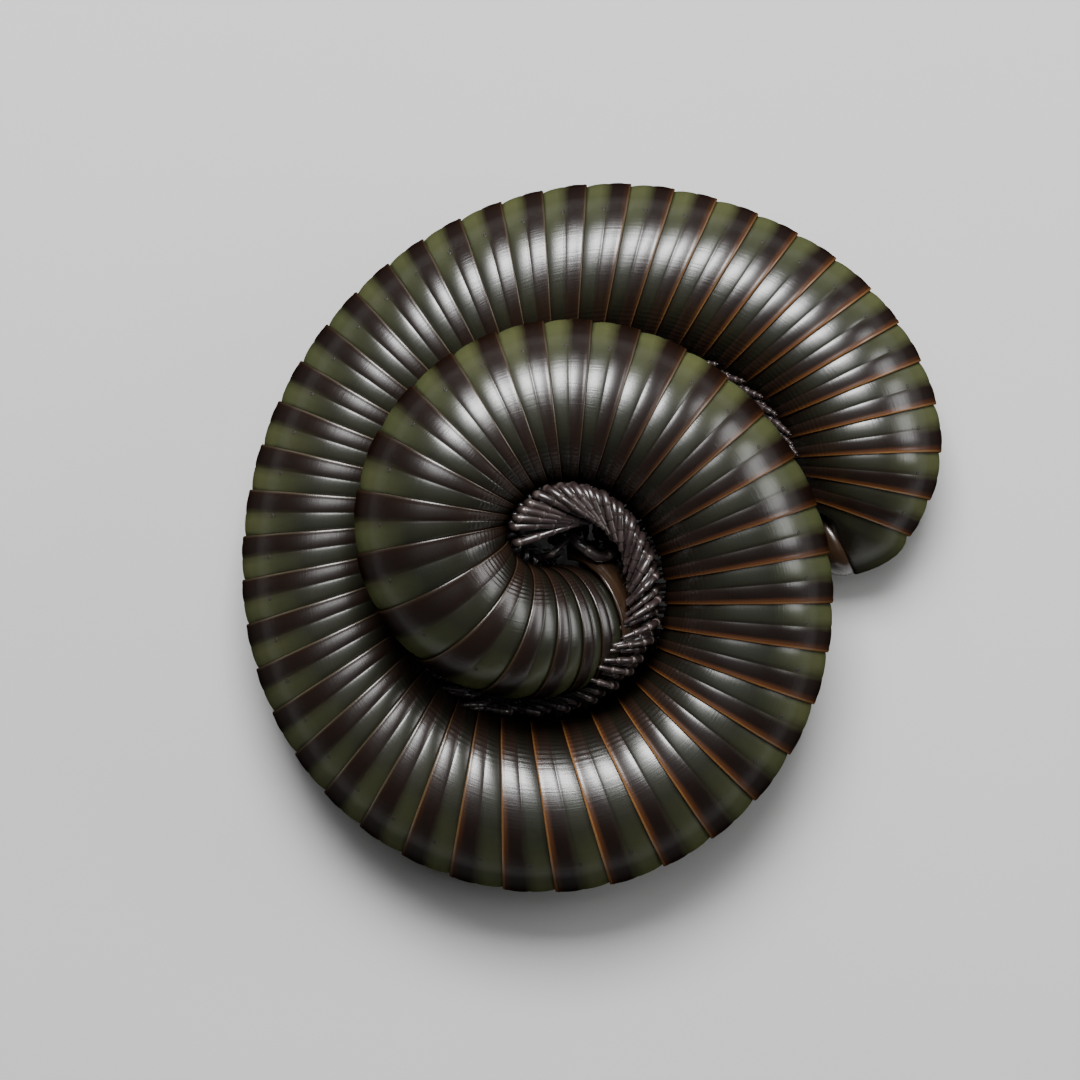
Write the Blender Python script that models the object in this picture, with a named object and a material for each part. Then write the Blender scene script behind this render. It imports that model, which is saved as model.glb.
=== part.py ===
"""A life-size model of a spirostreptus millipede that lies coiled on its right side.

The body follows one spiral route from the tail, low on the floor at +X, round the coil and
up over itself, then down into the middle, where the head is tucked in. All sizes are metres,
+Z is up, and the origin is at the bottom centre of the model's box.
"""
import math
import random

import bmesh
import bpy
import numpy as np
from mathutils import Matrix, Vector

MM = 0.001
GAP = 0.3 * MM

# The route of the body's centreline, from the tail to the neck, in millimetres:
# turn about the coil's eye in degrees, distance from the eye, height, girth radius.
ROUTE = (
    (-4, 20.2, 3.7, 2.4), (9, 22.0, 5.0, 4.7), (18, 23.6, 6.1, 6.0), (28, 24.7, 6.45, 6.5),
    (60, 24.7, 6.65, 6.75), (90, 23.7, 6.8, 6.85), (120, 22.4, 6.9, 6.95), (150, 21.5, 6.95, 7.0),
    (180, 21.25, 6.95, 7.05), (210, 21.6, 7.0, 7.1), (240, 21.2, 7.0, 7.1), (270, 19.5, 7.25, 7.1),
    (300, 16.8, 8.2, 7.05), (330, 14.1, 9.8, 6.95), (360, 12.3, 12.0, 6.85), (390, 11.5, 13.9, 6.75),
    (420, 11.6, 15.4, 6.7), (450, 12.4, 16.7, 6.6), (480, 13.2, 17.8, 6.5), (510, 13.3, 18.5, 6.35),
    (540, 12.1, 17.8, 6.1), (568, 9.6, 16.1, 5.75), (587, 7.6, 14.65, 5.5), (598, 6.55, 13.8, 5.35),
    (608, 5.75, 13.0, 5.2), (623, 4.95, 11.9, 5.0), (636, 4.5, 10.9, 4.85), (646, 4.3, 10.1, 4.7),
    (654, 4.2, 9.5, 4.6),
)
ROUTE_STEP = 0.5                    # degrees of turn between the sampled points of the route

# How the rings' planes stand, by the turn of the coil: their yaw in degrees, where plus takes
# the back toward the head, and how far they lean with the body's slope, from 0 (upright) to 1.
PLANES = (
    (-4, -4, 0), (9, -5, 0), (15, -1, 0), (21, -1.5, 0), (46, -11, 0), (105, -11, 0),
    (173, 10.7, 0), (234, 13, 0), (250, 13, 0), (269, 5.5, 0), (290, -2.5, 0), (300, -2.5, 0),
    (332, 2, 0), (358, 0, 0), (375, -2, 0), (400, 0, 0), (500, 0, 0), (534, 5, 0), (556, 0, 1),
    (654, 0, 1),
)

# Ring edges: which ring from the tail has its rear rim how far along the route, in millimetres.
RING_COUNT = 66
RIM_KNOTS = (
    (1, 5.35), (2, 7.9), (3, 10.6), (4, 13.35), (7, 21.55), (10, 30.1), (13, 38.4), (16, 46.6),
    (19, 54.2), (22, 61.9), (26, 72.8), (30, 83.9), (34, 95.2), (36, 101.4), (38, 108.2),
    (40, 115.2), (42, 121.7), (44, 127.9), (46, 134.1), (49, 143.3), (52, 151.8), (55, 159.4),
    (58, 167.1), (60, 172.9), (61, 175.8), (62, 178.9), (63, 182.2), (64, 184.8), (65, 186.7),
    (66, 188.2), (67, 189.8),
)
RINGS_PER_LENGTH = (6, 6, 6, 6, 6, 6, 6, 6, 6, 8, 4)    # trunk lengths, from the tail
RING_SIDES = 24
RIM_STEP = 0.14 * MM                # the short step up to each ring's rear rim
FRONT_GIRTH = 0.965                 # a ring's front, as a share of its rear rim

TRUNK_GIRTH = 6.4                   # the trunk's usual girth, for the leg poses (mm)

# Legs: each pose is four points, root, knee, shin and tip, as distance back toward the tail
# (mm), angle from the belly's midline (degrees) and height over the ring (mm).


def lifted(height, angle, more):
    """The pose's height and angle on a leg turned up by more degrees, but no wider in plan."""
    widest = (TRUNK_GIRTH + height) * math.cos(math.radians(angle))
    return (angle + more, widest / math.cos(math.radians(angle + more)) - TRUNK_GIRTH)


def swept(knee, back, reach, rise=0):
    """A leg that rises to a knee at the first height and sweeps back and inward from there."""
    shin = lifted((knee + reach) / 2, 21, 0.9 * rise)
    return ((0.0, 6, -0.8), (0.0, *lifted(knee, 21, 0.6 * rise)), (0.45 * back, *shin),
            (back, *lifted(reach, 17, rise)))


PRESSED = ((0.0, 14, -0.8), (0.0, 32, 0.5), (0.7, 38, 0.5), (1.5, 42, 0.45))
FAN = ((0.0, 6, -0.8), (0.0, 18, 1.0), (0.1, 18, 2.6), (0.3, 14, 4.4))
TIGHT = ((0.0, 16, -0.8), (0.0, 32, 0.5), (0.1, 40, 0.5), (0.3, 47, 0.45))
NECK = ((0.0, 14, -0.8), (-0.1, 32, 0.6), (-0.2, 28, 1.6), (-0.5, 22, 2.6))
LEG_POSES = (
    (0, PRESSED), (250, PRESSED), (271, swept(1.3, 1.8, 2.3, 3)), (283, swept(1.3, 1.4, 2.0, 10)),
    (296, swept(1.35, 1.5, 2.6, 28)), (309, swept(1.15, 1.4, 3.2, 27)),
    (332, swept(1.0, 1.45, 3.4, 21)), (345, swept(0.9, 1.7, 3.4, 15)), (358, swept(0.95, 2.0, 3.45, 10)),
    (388, swept(0.85, 2.45, 3.45)), (411, swept(0.7, 2.35, 3.2)), (435, swept(0.65, 2.6, 3.3)),
    (461, swept(0.7, 2.4, 3.6)), (476, swept(0.8, 1.6, 4.0)), (494, FAN), (528, FAN), (542, TIGHT), (582, TIGHT), (588, NECK), (596, NECK), (602, TIGHT),
    (650, TIGHT),
)
LEG_RADII = (0.34, 0.33, 0.27, 0.17)                    # mm, at the four points
LEG_PLACE = 0.55                    # where on a ring its legs grow, as a share of its length
LEGLESS_AT_TAIL = 3

# Telson, from the valves forward, in millimetres: each loop's point on the back and on the
# belly in plan, then its middle's height and its half height.
TELSON_LOOPS = (
    ((21.9, -1.2), (18.7, 4.6), 3.58, 3.3), ((22.9, -0.9), (18.3, 4.55), 3.85, 3.65),
    ((23.75, -0.55), (18.05, 4.5), 4.02, 3.92), ((24.5, -0.12), (17.85, 4.45), 4.2, 4.15),
    ((25.15, 0.35), (17.65, 4.42), 4.35, 4.32), ((25.6, 0.85), (17.5, 4.42), 4.46, 4.44),
)
TELSON_FRONT = 0.965                # girth of the loop that faces the last ring, as a share
# The two anal valves are one dome over the telson's end, split in two: each loop's rise from
# the end and its size as a share of the end.
VALVE_DOME = ((0.3, 0.93), (0.9, 0.88), (1.5, 0.75), (2.0, 0.52), (2.35, 0.2))
VALVE_POINTS = 13

# Collum: each loop's way ahead of its rear rim (mm), its girth as a share of the body's, and
# its shift to the back (mm), which leaves room for the head that is bent down to the belly.
COLLUM_LOOPS = ((0.0, 1.01, 0.0), (0.7, 0.97, 0.3), (1.3, 0.82, 1.1), (1.7, 0.62, 1.7))
COLLUM_BELLY = 0.78                 # its girth at the belly, as a share of the rest

# Head, placed by its centre, the way its face looks and the way its crown points.
HEAD_CENTRE = (2.5, -0.9, 8.2)
HEAD_HALF_WIDTH = 3.5
HEAD_HALF_DEPTH = 2.5
HEAD_HALF_HEIGHT = 3.3
HEAD_TURN = 115.0                   # degrees about +Z, where the face looks
HEAD_DIP = 20.0                     # degrees that the face looks down

# Feelers, in the head's own frame (mm): +X its right side, +Y the face, +Z the crown.
FEELERS = {
    "left": ((-1.96, 2.6, 0.12), (-3.6, 1.9, 0.35), (-6.1, -0.1, 0.4), (-7.0, -0.68, -1.06),
             (-7.5, 0.14, -1.77), (-7.65, 1.2, -2.35), (-7.35, 2.2, -2.6)),
    "right": ((2.0, 2.7, 0.1), (2.9, 3.2, 0.0), (3.0, 4.1, -1.0), (2.2, 4.8, -2.2),
              (1.2, 5.2, -3.4), (0.6, 5.2, -4.2)),
}
FEELER_RADII = (0.36, 0.4, 0.42, 0.44, 0.47, 0.45, 0.3)

COLOURS = {
    "shell": (0.035, 0.036, 0.018),
    "dark_shell": (0.022, 0.012, 0.009),
    "horn": (0.020, 0.012, 0.012),
    "eye": (0.006, 0.005, 0.005),
}


def natural_spline(knots, values):
    """A smooth curve through the values, as a function of the knots' quantity."""
    knots = np.asarray(knots, float)
    values = np.asarray(values, float)
    gaps = np.diff(knots)
    slopes = np.diff(values, axis=0) / gaps[:, None]
    count = len(knots)
    system = np.eye(count)
    right = np.zeros_like(values)
    for i in range(1, count - 1):
        system[i, i - 1:i + 2] = gaps[i - 1], 2.0 * (gaps[i - 1] + gaps[i]), gaps[i]
        right[i] = 6.0 * (slopes[i] - slopes[i - 1])
    bends = np.linalg.solve(system, right)

    def curve(at):
        at = np.atleast_1d(np.asarray(at, float))
        k = np.clip(np.searchsorted(knots, at) - 1, 0, count - 2)
        h = gaps[k][:, None]
        a = ((knots[k + 1] - at)[:, None]) / h
        b = 1.0 - a
        cubic = (a ** 3 - a) * bends[k] + (b ** 3 - b) * bends[k + 1]
        return a * values[k] + b * values[k + 1] + cubic * h ** 2 / 6.0

    return curve


class Route:
    """The body's centreline, measured along its length from the tail."""

    def __init__(self):
        table = np.array(ROUTE, float)
        turns = np.arange(table[0, 0], table[-1, 0] + ROUTE_STEP / 2, ROUTE_STEP)
        reach, height, girth = natural_spline(table[:, 0], table[:, 1:])(turns).T * MM
        angle = np.radians(turns)
        self.points = np.stack([reach * np.cos(angle), reach * np.sin(angle), height], axis=1)
        steps = np.linalg.norm(np.diff(self.points, axis=0), axis=1)
        self.lengths = np.concatenate([[0.0], np.cumsum(steps)])
        self.turns = turns
        self.girths = girth
        ways = np.gradient(self.points, self.lengths, axis=0)
        self.ways = ways / np.linalg.norm(ways, axis=1)[:, None]
        level = np.hypot(self.ways[:, 0], self.ways[:, 1])
        yaw, lean_share = (
            np.interp(turns, [row[0] for row in PLANES], [row[k] for row in PLANES]) for k in (1, 2)
        )
        yaw = np.radians(yaw)
        lean = -lean_share * np.arctan2(self.ways[:, 2], level)
        heading = np.arctan2(self.ways[:, 1], self.ways[:, 0]) + yaw
        across = np.stack([np.sin(heading), -np.cos(heading), 0.0 * heading], axis=1)
        self.backs = across / np.cos(yaw)[:, None]
        self.lefts = np.stack([
            np.cos(heading) * np.sin(lean), np.sin(heading) * np.sin(lean), np.cos(lean),
        ], axis=1)

    def read(self, values, length):
        if values.ndim == 1:
            return float(np.interp(length, self.lengths, values))
        return Vector([np.interp(length, self.lengths, column) for column in values.T])

    def centre(self, length):
        return self.read(self.points, length)

    def girth(self, length):
        return self.read(self.girths, length)

    def turn(self, length):
        return self.read(self.turns, length)

    def axes(self, length):
        """Forward to the head, then out to the back and to the left side in the ring's plane.

        The left side is up. The second one is a little over 1 long where a ring stands askew,
        so that the body keeps its breadth there.
        """
        forward = self.read(self.ways, length).normalized()
        return forward, self.read(self.backs, length), self.read(self.lefts, length)


ROUTE_LINE = Route()
RIM_LINE = natural_spline([n for n, _ in RIM_KNOTS], [[s * MM] for _, s in RIM_KNOTS])


def rim(number):
    """Where along the route the rear rim of this ring is, counted from the tail."""
    return float(RIM_LINE(number)[0, 0])


def on_body(length, back_shift, angle, height, side=1):
    """A point near the ring at this length: angle from the belly line, height over the skin."""
    forward, back, left = ROUTE_LINE.axes(length)
    reach = ROUTE_LINE.girth(length) + height
    turn = math.radians(angle)
    outward = left * (math.sin(turn) * side) - back * math.cos(turn)
    point = ROUTE_LINE.centre(length) + outward * reach - forward * back_shift
    return point


def material(name):
    made = bpy.data.materials.new(name)
    made.use_nodes = True
    shader = made.node_tree.nodes["Principled BSDF"]
    shader.inputs["Base Color"].default_value = (*COLOURS[name], 1.0)
    shader.inputs["Roughness"].default_value = 0.22
    shader.inputs["Metallic"].default_value = 0.0
    return made


def add_object(name, mesh, finish, collection):
    made = bpy.data.objects.new(name, mesh)
    mesh.materials.clear()
    mesh.materials.append(finish)
    mesh.shade_smooth()
    mesh.set_sharp_from_angle(angle=math.radians(40))
    collection.objects.link(made)
    return made


def loft(name, loops):
    """A closed solid through loops of equally many points; both ends are capped."""
    work = bmesh.new()
    rows = [[work.verts.new(point) for point in loop] for loop in loops]
    sides = len(rows[0])
    for first, second in zip(rows, rows[1:]):
        for k in range(sides):
            n = (k + 1) % sides
            work.faces.new((first[k], first[n], second[n], second[k]))
    work.faces.new(list(reversed(rows[0])))
    work.faces.new(rows[-1])
    bmesh.ops.recalc_face_normals(work, faces=work.faces)
    mesh = bpy.data.meshes.new(name)
    work.to_mesh(mesh)
    work.free()
    return mesh


def ring_loop(length, share, sides=RING_SIDES, belly_share=1.0, back_shift=0.0):
    """One loop round the body, flattened where it lies on the floor."""
    forward, back, left = ROUTE_LINE.axes(length)
    centre = ROUTE_LINE.centre(length) + back * back_shift
    girth = ROUTE_LINE.girth(length) * share
    loop = []
    for k in range(sides):
        turn = 2.0 * math.pi * k / sides
        belly = max(0.0, -math.cos(turn)) ** 4
        reach = girth * (1.0 - (1.0 - belly_share) * belly)
        point = centre + (back * math.cos(turn) + left * math.sin(turn)) * reach
        point.z = max(point.z, 0.0)
        loop.append(point)
    return loop


def trunk_mesh(name, first, last):
    """Rings first to last, counted from the tail, each with a raised rear rim."""
    loops = []
    for number in range(first, last + 1):
        start = rim(number)
        end = rim(number + 1) - (GAP if number == last else RIM_STEP)
        loops.append(ring_loop(start, 1.0))
        loops.append(ring_loop(end, FRONT_GIRTH))
    return loft(name, loops)


def mixed_pose(turn):
    """The leg pose at this turn of the coil, between the two poses nearest to it."""
    for (low, first), (high, second) in zip(LEG_POSES, LEG_POSES[1:]):
        if turn <= high:
            share = max(0.0, (turn - low) / (high - low))
            return [
                tuple(a + (b - a) * share for a, b in zip(p, q)) for p, q in zip(first, second)
            ]
    return list(LEG_POSES[-1][1])


def leg_curve(name, length, side, dice):
    """A jointed leg as a thin tapering tube, still a curve."""
    turn = ROUTE_LINE.turn(length)
    pose = mixed_pose(turn) if side > 0 else (PRESSED if turn < 500 else TIGHT)
    swing = dice.uniform(-1.0, 1.0)
    curve = bpy.data.curves.new(name, "CURVE")
    curve.dimensions = "3D"
    curve.bevel_depth = MM
    curve.bevel_resolution = 0
    curve.use_fill_caps = True
    line = curve.splines.new("POLY")
    line.points.add(len(pose) - 1)
    for k, (shift, angle, height) in enumerate(pose):
        angle += swing * k * 0.6
        point = on_body(length, shift * MM, angle, height * MM, side)
        point.z = max(point.z, 0.45 * MM)
        line.points[k].co = (*point, 1.0)
        line.points[k].radius = LEG_RADII[k]
    return bpy.data.objects.new(name, curve)


def curve_to_mesh(curve_object, collection):
    """A curve made into a closed mesh object with its caps welded on."""
    scene_collection = bpy.context.scene.collection
    scene_collection.objects.link(curve_object)
    graph = bpy.context.evaluated_depsgraph_get()
    mesh = bpy.data.meshes.new_from_object(curve_object.evaluated_get(graph))
    work = bmesh.new()
    work.from_mesh(mesh)
    bmesh.ops.remove_doubles(work, verts=work.verts, dist=0.001 * MM)
    bmesh.ops.recalc_face_normals(work, faces=work.faces)
    work.to_mesh(mesh)
    work.free()
    name = curve_object.name
    place = curve_object.matrix_world.copy()
    bpy.data.objects.remove(curve_object)
    made = bpy.data.objects.new(name, mesh)
    made.matrix_world = place
    collection.objects.link(made)
    return made


def keep_largest(mesh):
    """Drops every loose scrap but the largest connected surface."""
    work = bmesh.new()
    work.from_mesh(mesh)
    bmesh.ops.remove_doubles(work, verts=work.verts, dist=0.0005 * MM)
    left = set(work.verts)
    shells = []
    while left:
        stack = [left.pop()]
        shell = set(stack)
        while stack:
            for edge in stack.pop().link_edges:
                for vert in edge.verts:
                    if vert in left:
                        left.discard(vert)
                        shell.add(vert)
                        stack.append(vert)
        shells.append(shell)
    largest = max(shells, key=len)
    bmesh.ops.delete(work, geom=[v for v in work.verts if v not in largest], context="VERTS")
    work.to_mesh(mesh)
    work.free()


def fuse(base, additions):
    """Joins a collection of closed pieces to the base and leaves one closed body."""
    group = bpy.data.collections.new(base.name + "_legs")
    bpy.context.scene.collection.children.link(group)
    for piece in additions:
        for holder in list(piece.users_collection):
            holder.objects.unlink(piece)
        group.objects.link(piece)
    union = base.modifiers.new("legs", "BOOLEAN")
    union.operation = "UNION"
    union.operand_type = "COLLECTION"
    union.collection = group
    union.solver = "MANIFOLD"
    graph = bpy.context.evaluated_depsgraph_get()
    joined = bpy.data.meshes.new_from_object(base.evaluated_get(graph))
    base.modifiers.clear()
    base.data = joined
    for piece in list(group.objects):
        bpy.data.objects.remove(piece)
    bpy.data.collections.remove(group)
    keep_largest(base.data)
    base.data.shade_smooth()
    base.data.set_sharp_from_angle(angle=math.radians(40))


def build_trunk(collection, finishes):
    """The trunk lengths from the tail forward, each with its legs."""
    dice = random.Random(11)
    holding = bpy.data.collections.new("holding")
    bpy.context.scene.collection.children.link(holding)
    first = 1
    for count in RINGS_PER_LENGTH:
        last = first + count - 1
        name = f"rings_{RING_COUNT + 2 - last:02d}_{RING_COUNT + 2 - first:02d}"
        trunk = add_object(name, trunk_mesh(name, first, last), finishes["shell"], collection)
        legs = []
        for number in range(max(first, 1 + LEGLESS_AT_TAIL), last + 1):
            length = rim(number) + LEG_PLACE * (rim(number + 1) - rim(number))
            for side in (1, -1):
                leg = leg_curve("leg", length, side, dice)
                legs.append(curve_to_mesh(leg, holding))
        if legs:
            fuse(trunk, legs)
        first = last + 1
    bpy.data.collections.remove(holding)


def build_collum(collection, finishes):
    """The neck shield, open at the belly side, where the first legs and the jaws lie."""
    start = rim(RING_COUNT + 1)
    loops = [
        ring_loop(start + ahead * MM, size, belly_share=COLLUM_BELLY, back_shift=shift * MM)
        for ahead, size, shift in COLLUM_LOOPS
    ]
    add_object("collum", loft("collum", loops), finishes["dark_shell"], collection)


def head_matrix():
    """Places the head's own frame: +Y the face, +Z the crown, -X its left side."""
    turn = math.radians(HEAD_TURN)
    dip = math.radians(HEAD_DIP)
    face = Vector((math.cos(turn) * math.cos(dip), math.sin(turn) * math.cos(dip), -math.sin(dip)))
    crown = face.cross(Vector((0, 0, 1))).normalized()
    right = face.cross(crown)
    matrix = Matrix((right, face, crown)).transposed().to_4x4()
    matrix.translation = Vector(HEAD_CENTRE) * MM
    return matrix


def head_surface(direction):
    """The head capsule's surface along a direction in its own frame, in metres."""
    x, y, z = direction
    narrow = 1.0 - 0.34 * max(0.0, -z) ** 0.7
    flat = 0.84 if y > 0 else 0.95
    return Vector((
        x * HEAD_HALF_WIDTH * narrow,
        math.copysign(abs(y) ** flat, y) * HEAD_HALF_DEPTH,
        z * HEAD_HALF_HEIGHT,
    )) * MM


def ball(name, segments, rings):
    work = bmesh.new()
    bmesh.ops.create_uvsphere(work, u_segments=segments, v_segments=rings, radius=1.0)
    mesh = bpy.data.meshes.new(name)
    work.to_mesh(mesh)
    work.free()
    return mesh


def oval(name, centre, half_sizes, placing, finish, collection, segments=12, rings=8):
    """A small ovoid in the head's frame, sizes and place in millimetres."""
    mesh = ball(name, segments, rings)
    for vert in mesh.vertices:
        local = Vector([c + v * h for c, v, h in zip(centre, vert.co, half_sizes)]) * MM
        vert.co = placing @ local
    mesh.update()
    return add_object(name, mesh, finish, collection)


def build_head(collection, finishes):
    placing = head_matrix()
    mesh = ball("head", 24, 14)
    for vert in mesh.vertices:
        vert.co = placing @ head_surface(vert.co)
    mesh.update()
    add_object("head", mesh, finishes["dark_shell"], collection)
    for label, side in (("left", -1), ("right", 1)):
        oval(f"mandible_{label}", (side * 3.5, 0.5, -1.7), (0.6, 1.2, 1.2), placing,
             finishes["dark_shell"], collection)
        oval(f"eye_{label}", (side * 3.3, 1.3, 1.55), (0.2, 0.5, 0.45), placing,
             finishes["eye"], collection, 10, 6)
    oval("gnathochilarium", (0.0, -0.3, -3.9), (1.5, 1.0, 0.4), placing,
         finishes["horn"], collection)


def build_antennae(collection, finishes):
    """Two feelers: the left one folds back over the cheek, the right one lies in the hollow."""
    placing = head_matrix()
    for label, points in FEELERS.items():
        curve = bpy.data.curves.new("antenna", "CURVE")
        curve.dimensions = "3D"
        curve.bevel_depth = MM
        curve.bevel_resolution = 1
        curve.use_fill_caps = True
        line = curve.splines.new("POLY")
        line.points.add(len(points) - 1)
        for k, point in enumerate(points):
            line.points[k].co = (*(placing @ (Vector(point) * MM)), 1.0)
            line.points[k].radius = FEELER_RADII[k]
        feeler = curve_to_mesh(bpy.data.objects.new(f"antenna_{label}", curve), collection)
        feeler.data.materials.append(finishes["horn"])


def telson_loop(back, belly, middle, half_height, sides=RING_SIDES):
    """A loop round the telson, from its points on the back and the belly."""
    centre = Vector(((back[0] + belly[0]) / 2, (back[1] + belly[1]) / 2, middle))
    out = Vector(((back[0] - belly[0]) / 2, (back[1] - belly[1]) / 2, 0.0))
    loop = []
    for k in range(sides):
        turn = 2.0 * math.pi * k / sides
        point = centre + out * math.cos(turn) + Vector((0, 0, half_height)) * math.sin(turn)
        point.z = max(point.z, 0.0)
        loop.append(point * MM)
    return loop


def valve_loops(side):
    """Half of the dome over the telson's end, side +1 above the seam and -1 below it."""
    back, belly, middle, half_height = TELSON_LOOPS[0]
    centre = Vector(((back[0] + belly[0]) / 2, (back[1] + belly[1]) / 2, middle)) * MM
    out = Vector(((back[0] - belly[0]) / 2, (back[1] - belly[1]) / 2, 0.0)) * MM
    bulge = Vector((0, 0, 1)).cross(out).normalized() * -1.0
    loops = []
    for rise, share in VALVE_DOME:
        middle_point = centre + bulge * rise * MM + Vector((0, 0, side * GAP / 2))
        loop = []
        for k in range(VALVE_POINTS):
            turn = math.pi * k / (VALVE_POINTS - 1)
            up = side * half_height * MM * share * math.sin(turn)
            loop.append(middle_point + out * math.cos(turn) * share + Vector((0, 0, up)))
        loops.append(loop)
    return loops


def build_tail(collection, finishes):
    """The legless last ring and the two valves that close it, one above the other."""
    loops = [telson_loop(*values) for values in TELSON_LOOPS]
    loops.append(ring_loop(rim(1) - GAP, TELSON_FRONT))
    add_object("telson", loft("telson", loops), finishes["shell"], collection)
    for label, side in (("left", 1), ("right", -1)):
        name = f"anal_valve_{label}"
        add_object(name, loft(name, valve_loops(side)), finishes["dark_shell"], collection)


def stand_on_floor(collection):
    """Moves the whole model so that its box has the origin at the bottom centre."""
    corners = [o.matrix_world @ v.co for o in collection.objects for v in o.data.vertices]
    low = Vector([min(c[i] for c in corners) for i in range(3)])
    high = Vector([max(c[i] for c in corners) for i in range(3)])
    shift = Vector((-(low.x + high.x) / 2, -(low.y + high.y) / 2, -low.z))
    for item in collection.objects:
        item.data.transform(Matrix.Translation(shift) @ item.matrix_world)
        item.matrix_world = Matrix.Identity(4)
        item.data.update()


def main():
    for item in list(bpy.data.objects):
        bpy.data.objects.remove(item)
    collection = bpy.data.collections.new("millipede")
    bpy.context.scene.collection.children.link(collection)
    finishes = {name: material(name) for name in COLOURS}
    build_trunk(collection, finishes)
    build_collum(collection, finishes)
    build_head(collection, finishes)
    build_antennae(collection, finishes)
    build_tail(collection, finishes)
    stand_on_floor(collection)


main()
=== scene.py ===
"""A life-size spirostreptus millipede, coiled on its right side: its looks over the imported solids.

Laid out as an add-on: settings, one operator for each kind of piece, and a panel that lists
them. Run as a script it builds every piece in order. All sizes are metres unless a value
says millimetres, and the pieces follow the same route as the solids.
"""
import math
import random

import bpy
import numpy as np
from bpy.props import FloatProperty, FloatVectorProperty, IntProperty, PointerProperty
from bpy.types import Operator, Panel, PropertyGroup
from mathutils import Matrix, Vector


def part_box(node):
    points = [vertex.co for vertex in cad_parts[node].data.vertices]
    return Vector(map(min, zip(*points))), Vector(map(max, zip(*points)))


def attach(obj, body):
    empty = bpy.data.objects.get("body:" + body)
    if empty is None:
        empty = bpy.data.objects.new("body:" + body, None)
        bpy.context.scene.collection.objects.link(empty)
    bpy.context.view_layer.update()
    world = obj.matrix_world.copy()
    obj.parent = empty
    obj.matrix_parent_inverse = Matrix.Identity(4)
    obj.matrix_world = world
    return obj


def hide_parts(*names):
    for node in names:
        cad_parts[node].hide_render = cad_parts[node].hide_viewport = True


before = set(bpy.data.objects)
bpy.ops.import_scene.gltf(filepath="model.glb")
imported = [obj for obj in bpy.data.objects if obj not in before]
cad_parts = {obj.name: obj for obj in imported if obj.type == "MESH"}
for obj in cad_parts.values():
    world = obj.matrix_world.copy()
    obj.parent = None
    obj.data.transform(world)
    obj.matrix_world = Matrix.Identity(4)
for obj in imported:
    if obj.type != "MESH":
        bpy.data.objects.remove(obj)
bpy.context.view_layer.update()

bl_info = {
    "name": "Coiled millipede",
    "version": (1, 0, 0),
    "blender": (4, 5, 0),
    "location": "View3D > Sidebar > Millipede",
    "description": "Builds a still, life-size ringed millipede over its packed solids",
    "category": "Object",
}

MM = 0.001

# The route of the body's centreline, as in the solids, from the tail to the neck: turn about
# the coil's eye in degrees, then distance from the eye, height and girth radius in millimetres.
ROUTE = (
    (-4, 20.2, 3.7, 2.4), (9, 22.0, 5.0, 4.7), (18, 23.6, 6.1, 6.0), (28, 24.7, 6.45, 6.5),
    (60, 24.7, 6.65, 6.75), (90, 23.7, 6.8, 6.85), (120, 22.4, 6.9, 6.95), (150, 21.5, 6.95, 7.0),
    (180, 21.25, 6.95, 7.05), (210, 21.6, 7.0, 7.1), (240, 21.2, 7.0, 7.1), (270, 19.5, 7.25, 7.1),
    (300, 16.8, 8.2, 7.05), (330, 14.1, 9.8, 6.95), (360, 12.3, 12.0, 6.85),
    (390, 11.5, 13.9, 6.75),
    (420, 11.6, 15.4, 6.7), (450, 12.4, 16.7, 6.6), (480, 13.2, 17.8, 6.5), (510, 13.3, 18.5, 6.35),
    (540, 12.1, 17.8, 6.1), (568, 9.6, 16.1, 5.75), (587, 7.6, 14.65, 5.5), (598, 6.55, 13.8, 5.35),
    (608, 5.75, 13.0, 5.2), (623, 4.95, 11.9, 5.0), (636, 4.5, 10.9, 4.85), (646, 4.3, 10.1, 4.7),
    (654, 4.2, 9.5, 4.6),
)
ROUTE_STEP = 0.5                    # degrees between the points kept along the route

# How the rings' planes stand, by the turn of the coil: their yaw in degrees, where plus takes
# the back toward the head, and how far they lean with the body's slope, from 0 (upright) to 1.
PLANES = (
    (-4, -4, 0), (9, -5, 0), (15, -1, 0), (21, -1.5, 0), (46, -11, 0), (105, -11, 0),
    (173, 10.7, 0), (234, 13, 0), (250, 13, 0), (269, 5.5, 0), (290, -2.5, 0), (300, -2.5, 0),
    (332, 2, 0), (358, 0, 0), (375, -2, 0), (400, 0, 0), (500, 0, 0), (534, 5, 0), (556, 0, 1),
    (654, 0, 1),
)

# Which ring from the tail has its rear rim how far along the route, in millimetres.
RING_COUNT = 66
RIM_KNOTS = (
    (1, 5.35), (2, 7.9), (3, 10.6), (4, 13.35), (7, 21.55), (10, 30.1), (13, 38.4), (16, 46.6),
    (19, 54.2), (22, 61.9), (26, 72.8), (30, 83.9), (34, 95.2), (36, 101.4), (38, 108.2),
    (40, 115.2), (42, 121.7), (44, 127.9), (46, 134.1), (49, 143.3), (52, 151.8), (55, 159.4),
    (58, 167.1), (60, 172.9), (61, 175.8), (62, 178.9), (63, 182.2), (64, 184.8), (65, 186.7),
    (66, 188.2), (67, 189.8),
)

# One ring's outside from its rear rim forward: share of its length, and how far it lies under
# the rim's crest, in rim heights. The first points turn in under the rim, the last one runs on
# under the next ring's rim, and the dip near the middle is the suture.
RING_PROFILE = (
    (0.085, 1.0), (0.02, 0.8), (-0.004, 0.55), (-0.006, 0.25), (0.018, 0.03), (0.055, -0.03),
    (0.09, 0.03), (0.13, 0.0), (0.2, -0.08), (0.29, -0.12), (0.38, -0.07), (0.45, 0.05),
    (0.482, 0.18), (0.5, 0.24), (0.522, 0.17), (0.58, 0.12), (0.7, 0.2), (0.82, 0.38),
    (0.92, 0.66), (1.0, 1.0), (1.075, 1.3),
)
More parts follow.
